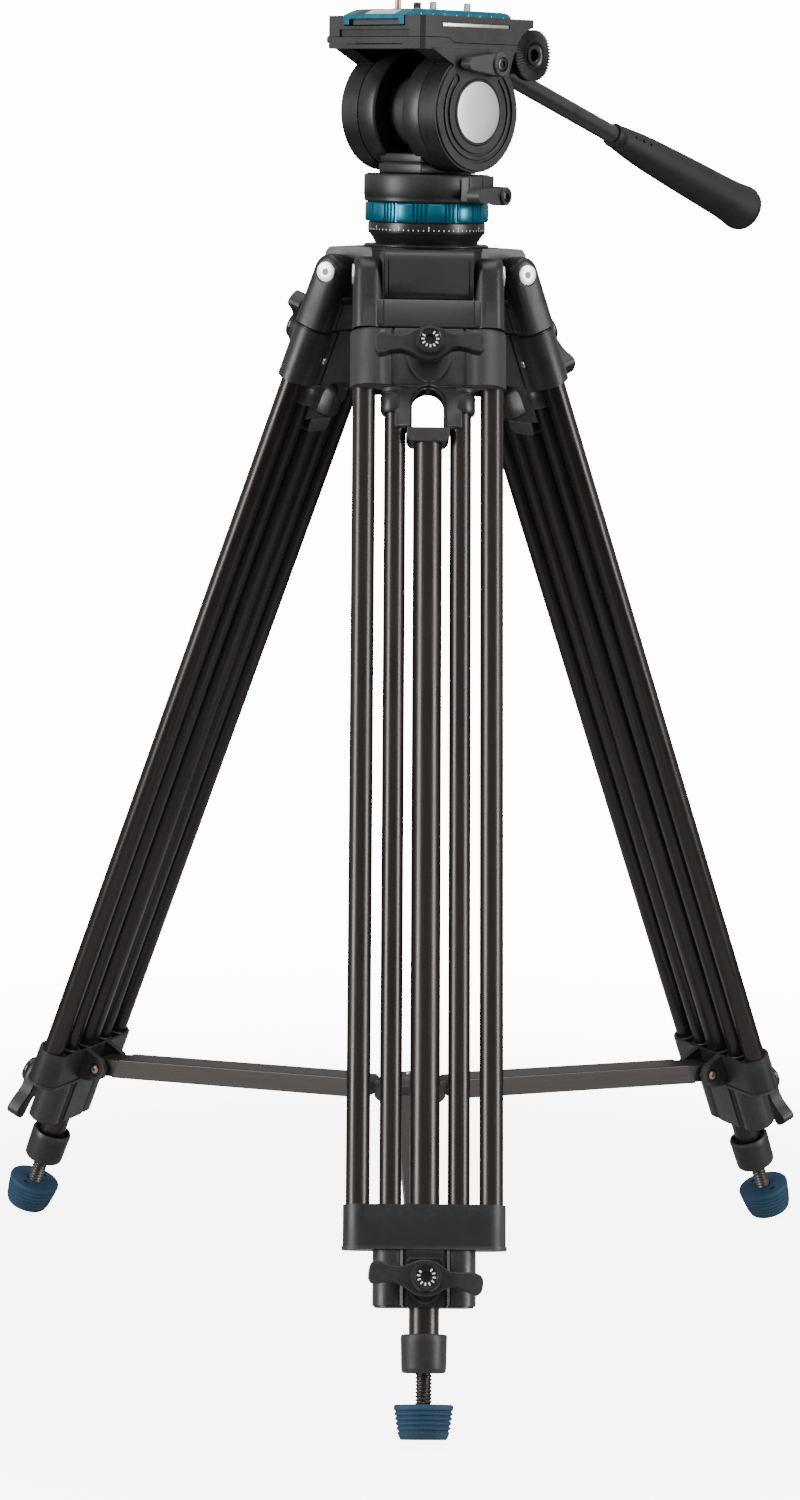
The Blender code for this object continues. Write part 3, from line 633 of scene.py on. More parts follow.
def fork_piece():
    posts = [pillar(s * 0.0371) for s in (-1, 1)]
    bar = block((-0.0330, -0.0104, FORK_END + 0.0006), (0.0330, 0.0104, -0.0186), 0.0016, 2)
    body = joined(posts[0], bar, posts[1])
    frame_cut = [block((e * 0.0276 - 0.0004, s * 0.0104 - 0.0005, -0.0366),
        (e * 0.0276 + 0.0004, s * 0.0104 + 0.0009, -0.0190)) for s in (-1, 1) for e in (-1, 1)]
    seats = [rod((s * 0.0454, 0.0, 0.0), (s * 0.0490, 0.0, 0.0), 0.0071) for s in (-1, 1)]
    return cut(body, *frame_cut, *seats)


def collar_outline(half_x, column, centre_y, seam_x, half_y):
    """Plan of a clamp collar: a round column at each side of a flat centre with narrow seams."""
    cx = half_x - column
    half = arc((cx, 0.0), column, -118.0, 118.0, 22)
    half = [(x, max(-half_y, min(half_y, y))) for x, y in half]
    seam = [(seam_x + 0.0010, centre_y - 0.0004), (seam_x + 0.0004, centre_y - 0.0014),
        (seam_x - 0.0004, centre_y - 0.0014), (seam_x - 0.0008, centre_y)]
    back = [(x, -y) for x, y in reversed(seam)]
    return symmetric(back + half + seam)


def knob_boss(z, half_w, low, high, reach):
    """Half-disc pad under a clamp knob, with a rounded rim and a raised lip."""
    outline = [(half_w, high - 0.002), (half_w - 0.002, high), (0.002 - half_w, high),
        (-half_w, high - 0.002)]
    depth = z - low
    lower = [(half_w * math.cos(a), z + depth * math.sin(a)) for a in
        [math.radians(180.0 + 7.5 * i) for i in range(25)]]
    pad = prism(outline + lower, 0.0085, reach, "Y")
    inner = [(x * 0.88, z + (v - z) * 0.90) for x, v in outline + lower]
    return cut(pad, prism(inner, reach - 0.0007, reach + 0.01, "Y"))


def upper_collar_piece():
    top = FORK_END - GAP
    outline = collar_outline(0.0476, 0.0116, 0.0108, 0.0218, 0.0118)
    collar = prism(outline, COLLAR_END, top - 0.0009, "Z")
    collar = joined(collar, prism([(x * 0.985, y * 0.95) for x, y in outline], top - 0.0016, top, "Z"))
    lip = prism([(x * 0.97, y * 0.93) for x, y in outline], COLLAR_END - 0.0010, COLLAR_END + 0.001, "Z")
    boss = knob_boss(KNOB_UPPER_Z, 0.0140, -0.0712, -0.0395, 0.0119)
    bridge = block((-0.0206, -0.0086, BRIDGE_END), (0.0206, 0.0086, COLLAR_END + 0.002), 0.0012, 2)
    body = joined(collar, lip, boss, bridge)
    crown_z = COLLAR_END - 0.0110
    arch = joined(block((-0.0098, -0.02, BRIDGE_END - 0.01), (0.0098, 0.02, crown_z)),
        rod((0.0, -0.02, crown_z), (0.0, 0.02, crown_z), 0.0098))
    step = joined(block((-0.0112, 0.0074, BRIDGE_END - 0.01), (0.0112, 0.02, crown_z)),
        rod((0.0, 0.0074, crown_z), (0.0, 0.02, crown_z), 0.0112))
    bores = [rod((s * OUTER_X, 0.0, COLLAR_END - 0.01), (s * OUTER_X, 0.0, top + 0.01), OUTER_R + 0.0002)
        for s in (-1, 1)]
    inner = [rod((s * INNER_X, 0.0, BRIDGE_END - 0.01), (s * INNER_X, 0.0, COLLAR_END), INNER_R + 0.0002)
        for s in (-1, 1)]
    return cut(body, *bores, arch, step, *inner)


def socket_ring():
    """Turned socket that grips an inner tube under the upper collar."""
    r = INNER_R + 0.0001
    return turned([
        (r, COLLAR_END + 0.001), (0.0091, COLLAR_END + 0.001), (0.0091, -0.0762), (0.0086, -0.0768),
        (0.0086, -0.0776), (0.0090, -0.0782), (0.0090, -0.0868), (0.0084, SOCKET_END + 0.0006), (0.0080,
        SOCKET_END), (r, SOCKET_END),
    ], 48, ring=True)


def bracket_piece():
    """Spreader bracket: a flat-faced bar with round ends, a lipped foot and a sunk top."""
    def plan(half_x, half_y):
        r = half_y - 0.0004
        right = arc((half_x - r, 0.0), r, -90.0, 90.0, 16)
        return symmetric([(x, math.copysign(min(abs(y), half_y), y)) for x, y in right])
    body = prism(plan(0.0474, 0.0114), BRACKET_END + 0.0014, BRACKET_TOP, "Z")
    lip = prism(plan(0.0480, 0.0120), BRACKET_END, BRACKET_END + 0.0021, "Z")
    sunk = prism(plan(0.0456, 0.0096), BRACKET_TOP - 0.0045, BRACKET_TOP + 0.01, "Z")
    body = cut(joined(body, lip), sunk)
    seats = []
    for x, r in ((-OUTER_X, OUTER_R), (-INNER_X, INNER_R), (0.0, CENTRE_R), (INNER_X, INNER_R),
        (OUTER_X, OUTER_R)):
        seats.append(rod((x, 0.0, BRACKET_TOP - 0.0060), (x, 0.0, BRACKET_TOP - 0.0012), r + 0.0014,
            chamfer=0.0005))
    body = joined(body, *seats)
    bores = [rod((x, 0.0, BRACKET_END - 0.01), (x, 0.0, BRACKET_TOP + 0.01), r + 0.0002)
        for x, r in ((-INNER_X, INNER_R), (0.0, CENTRE_R), (INNER_X, INNER_R))]
    return cut(body, *bores)


def clevis_ear(side):
    """Faceted ear beside the arm, with a round recess for its pivot screw."""
    y, z = ARM_PIVOT.y, ARM_PIVOT.z
    outline = [(-0.0105, z + 0.0098), (-0.0105, z - 0.0120), (-0.0170, z - 0.0112), (y - 0.0030, z - 0.0078),
        (y - 0.0076, z - 0.0034), (y - 0.0076, z + 0.0030), (y - 0.0030, z + 0.0074), (-0.0170,
        z + 0.0090)]
    near, far = sorted((side * (ARM_HALF_W + GAP), side * 0.0152))
    ear = prism(outline, near, far, "X")
    return cut(ear, rod((side * 0.0144, y, z), (side * 0.0200, y, z), 0.0050))


def lower_collar_piece():
    outline = collar_outline(0.0300, 0.0106, 0.0112, 0.0118, 0.0114)
    top = BRACKET_END - GAP
    body = prism(outline, LOWER_END + 0.0010, top, "Z")
    foot_lip = prism([(x * 0.96, y * 0.93) for x, y in outline], LOWER_END, LOWER_END + 0.002, "Z")
    boss = knob_boss(KNOB_LOWER_Z, 0.0112, -0.6235, -0.5965, 0.0119)
    body = joined(body, foot_lip, boss)
    return cut(body, rod((0.0, 0.0, LOWER_END - 0.01), (0.0, 0.0, top + 0.01), CENTRE_R + 0.0002))


def guide_piece():
    top = BRIDGE_END - GAP
    outline = [(-0.0130, top), (0.0130, top), (0.0130, YOKE_END + 0.0030), (0.0102, YOKE_END),
        (-0.0102, YOKE_END), (-0.0130, YOKE_END + 0.0030)]
    return prism(outline, -0.0090, 0.0090, "Y")


def boot_piece():
    return turned([
        (CENTRE_R, BOOT_TOP - 0.0035), (0.0104, BOOT_TOP - 0.0032), (0.0112, BOOT_TOP - 0.0010),
        (0.0118, BOOT_TOP), (0.0130, BOOT_TOP - 0.0002), (0.0135, BOOT_TOP - 0.0012), (0.0134,
        BOOT_TOP - 0.0050),
        (0.0131, BOOT_END + 0.0030), (0.0128, BOOT_END + 0.0010), (0.0120, BOOT_END), (0.0056, BOOT_END),
        (0.0056, BOOT_END + 0.002), (CENTRE_R - 0.002, BOOT_END + 0.004),
    ], 64, ring=True)


def foot_piece():
    """Rubber foot: a tapering cup with thin grooves and a socket for the stud."""
    grooves = 5
    height = FOOT_TOP - FOOT_END - 0.0032
    profile = [(0.0053, FOOT_TOP - 0.0095), (0.0053, FOOT_TOP - 0.0004), (0.0058, FOOT_TOP),
        (0.0160, FOOT_TOP), (0.0170, FOOT_TOP - 0.0004), (0.0173, FOOT_TOP - 0.0016)]
    for i in range(grooves):
        upper = (0.0030 + (height - 0.0030) * i / grooves)
        for offset, dip in ((0.0, 0.0), (0.0007, 0.0009), (0.0011, 0.0009), (0.0018, 0.0)):
            z = FOOT_TOP - upper - offset
            taper = (FOOT_TOP - z) / (FOOT_TOP - FOOT_END)
            profile.append((0.0174 - 0.0031 * taper ** 1.3 - dip, z))
    profile += [(0.0146, FOOT_END + 0.0030), (0.0139, FOOT_END + 0.0010), (0.0130, FOOT_END),
        (0.0, FOOT_END), (0.0, FOOT_TOP - 0.0095)]
    body = turned_shell(profile)
    notches = [block((s * 0.0105 - 0.0016, -0.0022, FOOT_TOP - 0.0012),
        (s * 0.0105 + 0.0016, 0.0022, FOOT_TOP + 0.01)) for s in (-1, 1)]
    return cut(body, *notches)


def turned_shell(profile, steps=72):
    """A turned cup: the profile starts at its socket's floor edge and ends on the axis."""
    outside = turned([(max(r, 0.0001), z) for r, z in profile[2:-1]], steps)
    top = profile[1][1]
    return cut(outside, rod((0.0, 0.0, profile[0][1]), (0.0, 0.0, top + 0.01), profile[0][0]))


def wing_outline():
    """S-curved wings: one bows up and the other down, with a belly under the hub."""
    stations = [
        (-0.0335, 0.0005, -0.0010), (-0.0331, 0.0034, -0.0042), (-0.0312, 0.0056, -0.0062), (-0.0280,
        0.0064, -0.0060),
        (-0.0235, 0.0060, -0.0044), (-0.0180, 0.0051, -0.0034), (-0.0135, 0.0050, -0.0042), (-0.0095,
        0.0068, -0.0072),
        (-0.0050, 0.0090, -0.0102), (0.0, 0.0098, -0.0114), (0.0050, 0.0090, -0.0106), (0.0095, 0.0068,
        -0.0086),
        (0.0135, 0.0046, -0.0066), (0.0180, 0.0036, -0.0056), (0.0235, 0.0040, -0.0062), (0.0280, 0.0054,
        -0.0078), (0.0312, 0.0052, -0.0080), (0.0331, 0.0030, -0.0058), (0.0335, 0.0002, -0.0024),
    ]
    top = [(0.985 * x, high) for x, high, low in stations]
    bottom = [(0.985 * x, low) for x, high, low in reversed(stations)]
    return top + bottom


def wing_knob():
    """Wings of a clamp knob about its own axis: X along the wings, Y out of the leg."""
    wings = prism(wing_outline(), 0.0195, 0.0289, "Y")
    neck = turned([(0.0085, 0.0123), (0.0085, 0.0150), (0.0074, 0.0162), (0.0074, 0.0195), (0.0090, 0.0212),
        (0.0090, 0.0260)], 48)
    return joined(wings, moved(neck, facing((0.0, 0.0, 0.0), (0.0, 1.0, 0.0))))


def knob_cap():
    cap = turned([(0.0082, 0.0285), (0.0090, 0.0296), (0.0090, 0.0318), (0.0082, 0.0330), (0.0068, 0.0332),
        (0.0062, 0.0326), (0.0030, 0.0324), (0.0026, 0.0312), (0.0010, 0.0310)], 48)
    return moved(cap, facing((0.0, 0.0, 0.0), (0.0, 1.0, 0.0)))


def knob_marks():
    """Ring of plain ticks on the knob's cap, open at the top left."""
    tick = block((0.0036, -0.00042, 0.0324), (0.0054, 0.00042, 0.0328))
    ticks = [moved(tick, Matrix.Rotation(math.radians(30.0 * i), 4, "Z")) for i in range(12)
        if i not in (9, 10)]
    return moved(gathered(ticks), facing((0.0, 0.0, 0.0), (0.0, 1.0, 0.0)))


def legs():
    shapes = {
        "fork_casting": (fork_piece(), "casting", "leg", "casting", ("fork",), 0.0006),
        "collar_casting": (upper_collar_piece(), "casting", "slide", "casting", ("slide_collar",), 0.0005),
        "bracket_casting": (bracket_piece(), "moulding", "leg", "tube", ("outer_frame",), 0.0005),
        "lower_collar": (lower_collar_piece(), "casting", "slide", "casting", ("mid_frame",), 0.0005),
        "guide_block": (guide_piece(), "moulding", "extension", "moulding", ("centre_tube",), 0.0008),
        "boot_cup": (boot_piece(), "moulding", "extension", "moulding", ("boot",), 0.0),
        "foot_pad": (foot_piece(), "rubber", "foot", "rubber", ("foot",), 0.0),
    }
    hinge_cap = screw_head(0.0063, 0.0012, 0.0024)
    collar_socket = socket_ring()
    ears = [clevis_ear(s) for s in (-1, 1)]
    pivot_cap = screw_head(0.0029, 0.0016, 0.0013)
    stud = thread(0.0050, 0.0011, 0.0021, FOOT_TOP - 0.0090, BOOT_END + 0.0035)
    wings, cap, marks = wing_knob(), knob_cap(), knob_marks()
    small_cap = screw_head(0.0021, 0.0012, 0.0010)
    for leg in LEGS:
        frame_at = leg_frame(leg)
        for name, (mesh, look, body, slot, nodes, bevel) in shapes.items():
            add(f"{leg}_{name}", mesh, look, f"{leg}_{body}", frame_at,
                [f"{leg}_{n}" for n in nodes], bevel)
        for side, s in (("a", -1.0), ("b", 1.0)):
            add(f"{leg}_hinge_cap_{side}", hinge_cap, "washer", f"{leg}_leg",
                frame_at @ facing((s * 0.0455, 0.0, 0.0), (s, 0.0, 0.0)), [f"{leg}_axle"])
            add(f"{leg}_hinge_key_{side}", hexagon(0.0023, 0.0, 0.0009), "dark_metal", f"{leg}_leg",
                frame_at @ facing((s * 0.0455, 0.0, 0.0), (s, 0.0, 0.0)))
            tube_x = s * OUTER_X
            add(f"{leg}_outer_tube_{side}", rod((tube_x, 0.0, BRACKET_END + 0.003),
                (tube_x, 0.0, FORK_END), OUTER_R), "tube", f"{leg}_leg", frame_at)
            tube_x = s * INNER_X
            add(f"{leg}_inner_tube_{side}",
                rod((tube_x, 0.0, BRACKET_END - 0.01), (tube_x, 0.0, COLLAR_END - 0.001), INNER_R),
                "tube", f"{leg}_slide", frame_at)
            add(f"{leg}_socket_{side}", collar_socket, "casting", f"{leg}_slide",
                frame_at @ Matrix.Translation((tube_x, 0.0, 0.0)))
            add(f"{leg}_clevis_{side}", ears[0 if s < 0 else 1], "moulding", f"{leg}_leg",
                frame_at, bevel=0.0006)
            pivot = ARM_PIVOT + Vector((s * 0.0140, 0.0, 0.0))
            add(f"{leg}_pivot_cap_{side}", pivot_cap, "brass", f"{leg}_leg",
                frame_at @ facing(pivot, (s, 0.0, 0.0)))
            add(f"{leg}_collar_screw_{side}", small_cap, "silver", f"{leg}_slide",
                frame_at @ facing((s * 0.0300, -0.0114, -0.0560), (0.0, -1.0, 0.0)))
        add(f"{leg}_centre_pole", rod((0.0, 0.0, BOOT_TOP - 0.008), (0.0, 0.0, YOKE_END + 0.002), CENTRE_R),
            "tube", f"{leg}_extension", frame_at)
        add(f"{leg}_stud", stud, "dark_metal", f"{leg}_extension", frame_at)
        for place, z, turn in (("upper", KNOB_UPPER_Z, KNOB_TURNS[leg][0]),
            ("lower", KNOB_LOWER_Z, KNOB_TURNS[leg][1])):
            spin = frame_at @ Matrix.Translation((0.0, 0.0, z)) @ Matrix.Rotation(math.radians(turn), 4, "Y")
            body = f"{leg}_{place}_knob"
            add(f"{leg}_{place}_wings", wings, "moulding", body, spin, [body], 0.0022, 3)
            add(f"{leg}_{place}_cap", cap, "gloss", body, spin)
            add(f"{leg}_{place}_marks", marks, "white", body, spin)


# ---------------------------------------------------------------- spreader
def arm_tube(low, high):
    """Rectangular tube, cut on a slant at both ends of its top face."""
    half_w, half_h = ARM_HALF_W - 0.0002, ARM_HALF_H
    outline = [(low + 0.0075, half_h), (low, -half_h), (high, -half_h), (high - 0.0060, half_h)]
    return prism([(x, z) for x, z in outline], -half_w, half_w, "Y")


def arm_plug(length):
    """Moulded insert: a round pivot end at the bracket, and a square-nosed end by the hub."""
    half_w, half_h = ARM_HALF_W - 0.0008, ARM_HALF_H - 0.0007
    near = arc((0.0, 0.0), half_h, 90.0, 270.0, 16) + [(0.0220, -half_h), (0.0220, half_h)]
    start = length - 0.022
    far = [(start, -half_h), (length - 0.0012, -half_h), (length, 0.0012 - half_h),
        (length, half_h - 0.0030), (length - 0.0030, half_h), (start, half_h)]
    return prism(near, -half_w, half_w, "Y"), prism(far, -half_w, half_w, "Y")


def spreader():
    hub_z = at("hub_level").z
    for leg in LEGS:
        frame_at, length = arm_frame(leg)
        body_length = length - ARM_END_GAP
        add(f"{leg}_arm_tube", arm_tube(0.0090, body_length - 0.0060), "arm", f"{leg}_arm",
            frame_at, [f"{leg}_arm"], 0.0008)
        near, far = arm_plug(body_length)
        add(f"{leg}_arm_root", near, "moulding", f"{leg}_arm", frame_at, bevel=0.0008)
        add(f"{leg}_arm_nose", far, "moulding", f"{leg}_arm", frame_at, bevel=0.0008)
    low, high = hub_z - 0.0052, hub_z + 0.0070
    slots = []
    for leg in LEGS:
        hinge = at(f"{leg}_leg_fold")
        turn = Matrix.Rotation(math.atan2(hinge.y, hinge.x), 4, "Z")
        slots.append(moved(block((0.0152, -0.0104, low - 0.01), (0.04, 0.0104, high + 0.01)), turn))
    plate = cut(turned([(0.0216, low), (0.0232, low + 0.0016), (0.0232, high - 0.0012), (0.0220, high)],
        60), *slots)
    sink = cut(plate, rod((0.0, 0.0, high - 0.0009), (0.0, 0.0, high + 0.01), 0.0118))
    add("hub_plate", sink, "moulding", "spreader_hub", None, ["spreader_hub"], 0.0005)
    add("hub_cap", turned([(0.0112, high - 0.0012), (0.0112, high - 0.0002), (0.0102, high + 0.0004)], 60),
        "arm", "spreader_hub")
    for i in range(3):
        a = math.radians(90.0 + 120.0 * i)
        spot = Vector((0.0176 * math.cos(a), 0.0176 * math.sin(a), high - 0.0001))
        add(f"hub_screw_{i}", screw_head(0.0024, 0.0010, 0.0011), "silver", "spreader_hub",
            Matrix.Translation(spot))


# ---------------------------------------------------------------- crown and base rings
def crown():
    low, high = 0.6402, 0.6720
    core = turned([(0.0300, 0.6402), (0.0352, 0.6420), (0.0360, 0.6450), (0.0360, 0.6700), (0.0364, 0.6706),
        (0.0364, 0.6730), (0.0358, 0.6735)], 96)
    bosses, panels = [], []
    for leg in LEGS:
        hinge = at(f"{leg}_leg_fold")
        reach = Vector((hinge.x, hinge.y)).length
        turn = Matrix.Rotation(math.atan2(hinge.y, hinge.x) - math.pi / 2.0, 4, "Z")
        end = reach + 0.0113
        outline = [(0.0100, low), (end - 0.0070, low)] + arc((end - 0.0070, low + 0.0070), 0.0070, -90.0,
            0.0, 6)
        outline += arc((end - 0.0052, high - 0.0052), 0.0052, 0.0, 90.0, 6) + [(0.0100, high)]
        boss = prism(outline, -0.0271, 0.0271, "X")
        bosses.append(moved(boss, turn))
        for s in (-1.0, 1.0):
            groove = block((s * 0.0247 - 0.0003, end - 0.0005, low + 0.0030),
                (s * 0.0247 + 0.0003, end + 0.01, high - 0.0060))
            panels.append(moved(groove, turn))
        scallop = [rod((x, end - 0.006, low - 0.0034), (x, end + 0.01, low - 0.0034), 0.0060)
            for x in (-0.0110, 0.0110)]
        panels += [moved(s, turn) for s in scallop]
    body = cut(joined(core, *bosses), *panels)
    add("crown_casting", body, "casting", "base", None, ["crown"], 0.0006)
    rim = turned([(0.0340, 0.6726), (0.0384, 0.6726), (0.0388, 0.6732), (0.0388, 0.6738), (0.0383, 0.6742),
        (0.0325, 0.6742)], 96)
    add("crown_rim", rim, "gloss", "base")


def ring_of(radius_at, z, steps):
    points = []
    for i in range(steps):
        a = 2.0 * math.pi * i / steps
        r = radius_at(math.degrees(a))
        points.append(Vector((r * math.cos(a), r * math.sin(a), z)))
    return points


def drag_radius(depth):
    """Outer radius of the drag ring by angle: twelve smooth pads with ribs between them."""
    def radius_at(degrees):
        phase = degrees % 30.0
        if phase < 14.6:
            return 0.0387 - 0.0387 * (1.0 - math.cos(math.radians(phase - 7.3))) * 0.6
        rib = ((phase - 14.6) / 15.4 * 4.0) % 1.0
        return 0.0385 - depth * (1.0 if rib < 0.42 else 0.12)
    return radius_at


def base_rings():
    neck = turned([(0.0318, 0.6741), (0.0320, 0.6752), (0.0349, 0.6799), (0.0351, 0.6804),
        (0.0330, 0.6806)], 96)
    add("neck_cone", neck, "gloss", "base", None, ["bowl_neck"])
    scale = turned([
        (0.0352, 0.6804), (0.0361, 0.6808), (0.0365, 0.6816), (0.0365, 0.6872), (0.0361, 0.6880), (0.0297,
        0.6880), (0.0297, 0.6995),
    ], 96)
    add("scale_band", scale, "gloss", "base", None, ["scale_ring"])
    dot = block((0.0363, -0.00030, 0.6830), (0.03658, 0.00030, 0.6838))
    bar = block((0.0363, -0.00026, 0.6842), (0.03658, 0.00026, 0.6857))
    add("scale_dots", around(dot, 72), "white", "base")
    add("scale_bars", around(bar, 12), "white", "base")
    depth = 0.0012
    levels = [(0.0, 0.6883), (0.6, 0.6889), (1.0, 0.6894), (1.0, 0.6987), (0.6, 0.6992), (0.0, 0.6998)]
    steps = 480
    sections = []
    for share, z in levels:
        radius_at = drag_radius(depth * (0.5 + 0.5 * share))
        sections.append(ring_of(lambda a, f=radius_at, s=share: f(a) - 0.0007 * (1.0 - s), z, steps))
    sections.append(ring_of(lambda a: 0.0300, 0.6998, steps))
    sections.append(ring_of(lambda a: 0.0300, 0.6883, steps))
    add("drag_ring_piece", looped(sections), "teal", "drag_ring", None, ["drag_ring"])


# ---------------------------------------------------------------- head pieces, in the head's frame
DRUM_R, DRUM_SEAM, DRUM_FACE = 0.0365, 0.0262, 0.0420
PLATFORM_Z, CLAMP_TOP, PLATE_TOP = 0.7925, 0.8125, 0.8165
ROSETTE_Y, ROSETTE_Z, ROSETTE_R = -0.0505, 0.7910, 0.0158
LUG_TURN = Matrix.Rotation(math.radians(-38.0 - 90.0), 4, "Z")


def along_x(mesh, x, side, y=0.0, z=TILT_Z):
    """Places a mesh built on z = 0 against a plane facing the head's left or right."""
    return moved(mesh, facing((x, y, z), (side, 0.0, 0.0)))


def pan_housing():
    body = turned([(0.0360, 0.7000), (0.0383, 0.7002), (0.0392, 0.7012), (0.0392, 0.7038), (0.0395, 0.7044),
        (0.0395, 0.7158), (0.0388, 0.7170), (0.0372, 0.7175), (0.0300, 0.7175)], 96)
    add("pan_housing", body, "casting", "pan_head", None, ["pan_base"])
    lug = block((-0.0115, 0.0200, 0.7006), (0.0150, 0.0430, 0.7170), 0.0014, 3)
    lug = cut(lug, block((0.0010, 0.0380, 0.70), (0.0017, 0.05, 0.72)))
    add("pan_lug", lug, "casting", "pan_head", LUG_TURN)
    handle = lever_piece(0.0058, 0.0044, 0.0246, 0.0108)
    spot = LUG_TURN @ Matrix.Translation((-0.0092, 0.0433, 0.7050))
    spot = spot @ Matrix.Rotation(math.radians(-90.0), 4, "X")
    add("pan_lever_piece", handle, "moulding", "pan_lever", spot, ["pan_lever"], 0.0016, 3)
    add("pan_lever_key", hex_washer(0.0034), "gloss", "pan_lever",
        spot @ Matrix.Translation((0, 0, 0.0098)))


def hex_washer(radius):
    return cut(turned([(radius, 0.0), (radius, 0.0010), (radius - 0.0004, 0.0013)], 40),
        hexagon(radius * 0.55, 0.0003, 0.01))


def lever_piece(round_r, tip_r, length, thickness):
    """Lock lever: a round boss with a socket, and a handle that narrows and then swells."""
    upper, lower = [], []
    for i in range(11):
        t = i / 10.0
        x = round_r * 0.8 + (length - round_r * 0.8) * t
        fade = (1.0 - t) ** 1.3
        half = round_r * 0.86 * fade + tip_r * (0.92 + 0.10 * math.sin(math.pi * t)) * (1.0 - fade)
        upper.append((x, half))
        lower.append((x, -half))
    outline = arc((0.0, 0.0), round_r, 62.0, 298.0, 20) + lower + arc((length, 0.0), tip_r * 0.9, -80.0,
        80.0, 10)
    outline += list(reversed(upper))
    body = prism(outline, 0.0, thickness * 0.86, "Z")
    boss = turned([(round_r, 0.0), (round_r, thickness - 0.0006), (round_r - 0.0006, thickness)], 48)
    body = joined(body, boss)
    return cut(body, rod((0.0, 0.0, thickness - 0.0016), (0.0, 0.0, thickness + 0.01), round_r * 0.62))


def yoke():
    foot = block((-0.0185, -0.0250, 0.7178), (0.0185, 0.0250, 0.7238), 0.0008, 2)
    upper = block((-0.0178, -0.0243, 0.7244), (0.0178, 0.0243, 0.7300), 0.0010, 2)
    waist = block((-0.0168, -0.0233, 0.7225), (0.0168, 0.0233, 0.7260))
    on_head("yoke_foot", joined(foot, waist, upper), "casting", "pan_head", ["yoke"], 0.0004)
    shaft = turned([(0.0230, -0.0135), (0.0230, 0.0135)], 72)
    on_head("yoke_shaft", along_x(shaft, 0.0, 1.0), "casting", "pan_head")
    for name, side in SIDES:
        drum = turned([(0.0300, 0.0), (0.0352, 0.0), (0.0361, 0.0008), (0.0365, 0.0020), (0.0365, 0.0135),
            (0.0362, 0.0141), (0.0352, 0.0143)], 120)
        on_head(f"inner_drum_{name}", along_x(drum, side * 0.0118, side), "casting", "pan_head")


def horseshoe(inner, outer, low, high, open_half=45.0):
    """A band round the drum's face, open at the top, with round ends."""
    start, end = 90.0 + open_half, 450.0 - open_half
    middle, half = (inner + outer) / 2.0, (outer - inner) / 2.0
    outline = arc((0.0, 0.0), outer, start, end, 60)
    a = math.radians(end)
    outline += arc((middle * math.cos(a), middle * math.sin(a)), half, end, end + 180.0, 10)[1:-1]
    outline += arc((0.0, 0.0), inner, end, start, 60)
    a = math.radians(start)
    outline += arc((middle * math.cos(a), middle * math.sin(a)), half, start + 180.0, start + 360.0, 10)[1:-1]
    return prism([(y, z) for y, z in outline], low, high, "X")


def drums():
    for name, side in SIDES:
        def span(a, b):
            return sorted((side * a, side * b))
        lift = Matrix.Translation((0.0, 0.0, TILT_Z))
        outline = arc((0.0, 0.0), DRUM_R, 140.0, 412.0, 90)
        outline += [(0.0440, PLATFORM_Z - TILT_Z + 0.001), (-0.0335, PLATFORM_Z - TILT_Z + 0.001)]
        shell = prism(outline, *span(DRUM_SEAM + 0.0003, DRUM_FACE - 0.0014), "X")
        face = prism([(y * 0.965, z * 0.965 if z < 0.03 else z) for y, z in outline],
            *span(DRUM_FACE - 0.0030, DRUM_FACE), "X")
        body = joined(shell, face)
        channel = horseshoe(0.0250, 0.0308, *span(DRUM_FACE - 0.0013, DRUM_FACE + 0.01))
        seat = rod((side * (DRUM_FACE - 0.0008), 0.0, 0.0), (side * 0.05, 0.0, 0.0), 0.0203)
        body = cut(body, channel, seat)
        on_head(f"drum_{name}", moved(body, lift), "casting", "tilt_head",
            [f"tilt_drum_{name}"], 0.0009, 3)
        rib = horseshoe(0.0267, 0.0290, *span(DRUM_FACE - 0.0020, DRUM_FACE - 0.0002), open_half=46.0)
        on_head(f"drum_rib_{name}", moved(rib, lift), "casting", "tilt_head", bevel=0.0005)
        ring = turned([(0.0190, 0.0), (0.0201, 0.0), (0.0201, 0.0009), (0.0197, 0.0013),
            (0.0190, 0.0013)], 96, ring=True)
        on_head(f"badge_ring_{name}", along_x(ring, side * (DRUM_FACE - 0.0009), side), "gloss",
            "tilt_head")
        disc = turned([(0.0186, 0.0), (0.0188, 0.0006), (0.0184, 0.0011), (0.0165, 0.0013), (0.0080, 0.00145),
            (0.0004, 0.0015)], 96)
        on_head(f"badge_{name}_disc", along_x(disc, side * (DRUM_FACE - 0.0006), side), "badge",
            "tilt_head", [f"badge_{name}"])


def side_profile(low, high, step_low, step_high):
    """Side view of one half of the platform, whose parting line steps down towards the rear."""
    return [(-0.0490, low if step_low is None else step_low[0]), *(() if step_low is None else (
        (0.0212, step_low[0]), (0.0265, step_low[1]))), (0.0490, low if step_low is None else step_low[1]),
        (0.0490, high if step_high is None else step_high[1]), *(() if step_high is None else (
        (0.0265, step_high[1]), (0.0212, step_high[0]))), (-0.0490, high
        if step_high is None else step_high[0])]


def plan_outline():
    half_x, half_y = 0.0415, 0.0490
    return [(-half_x, -half_y), (half_x, -half_y), (half_x, half_y - 0.0020), (half_x - 0.0020, half_y),
        (0.0030 - half_x, half_y), (-half_x, half_y - 0.0022)]


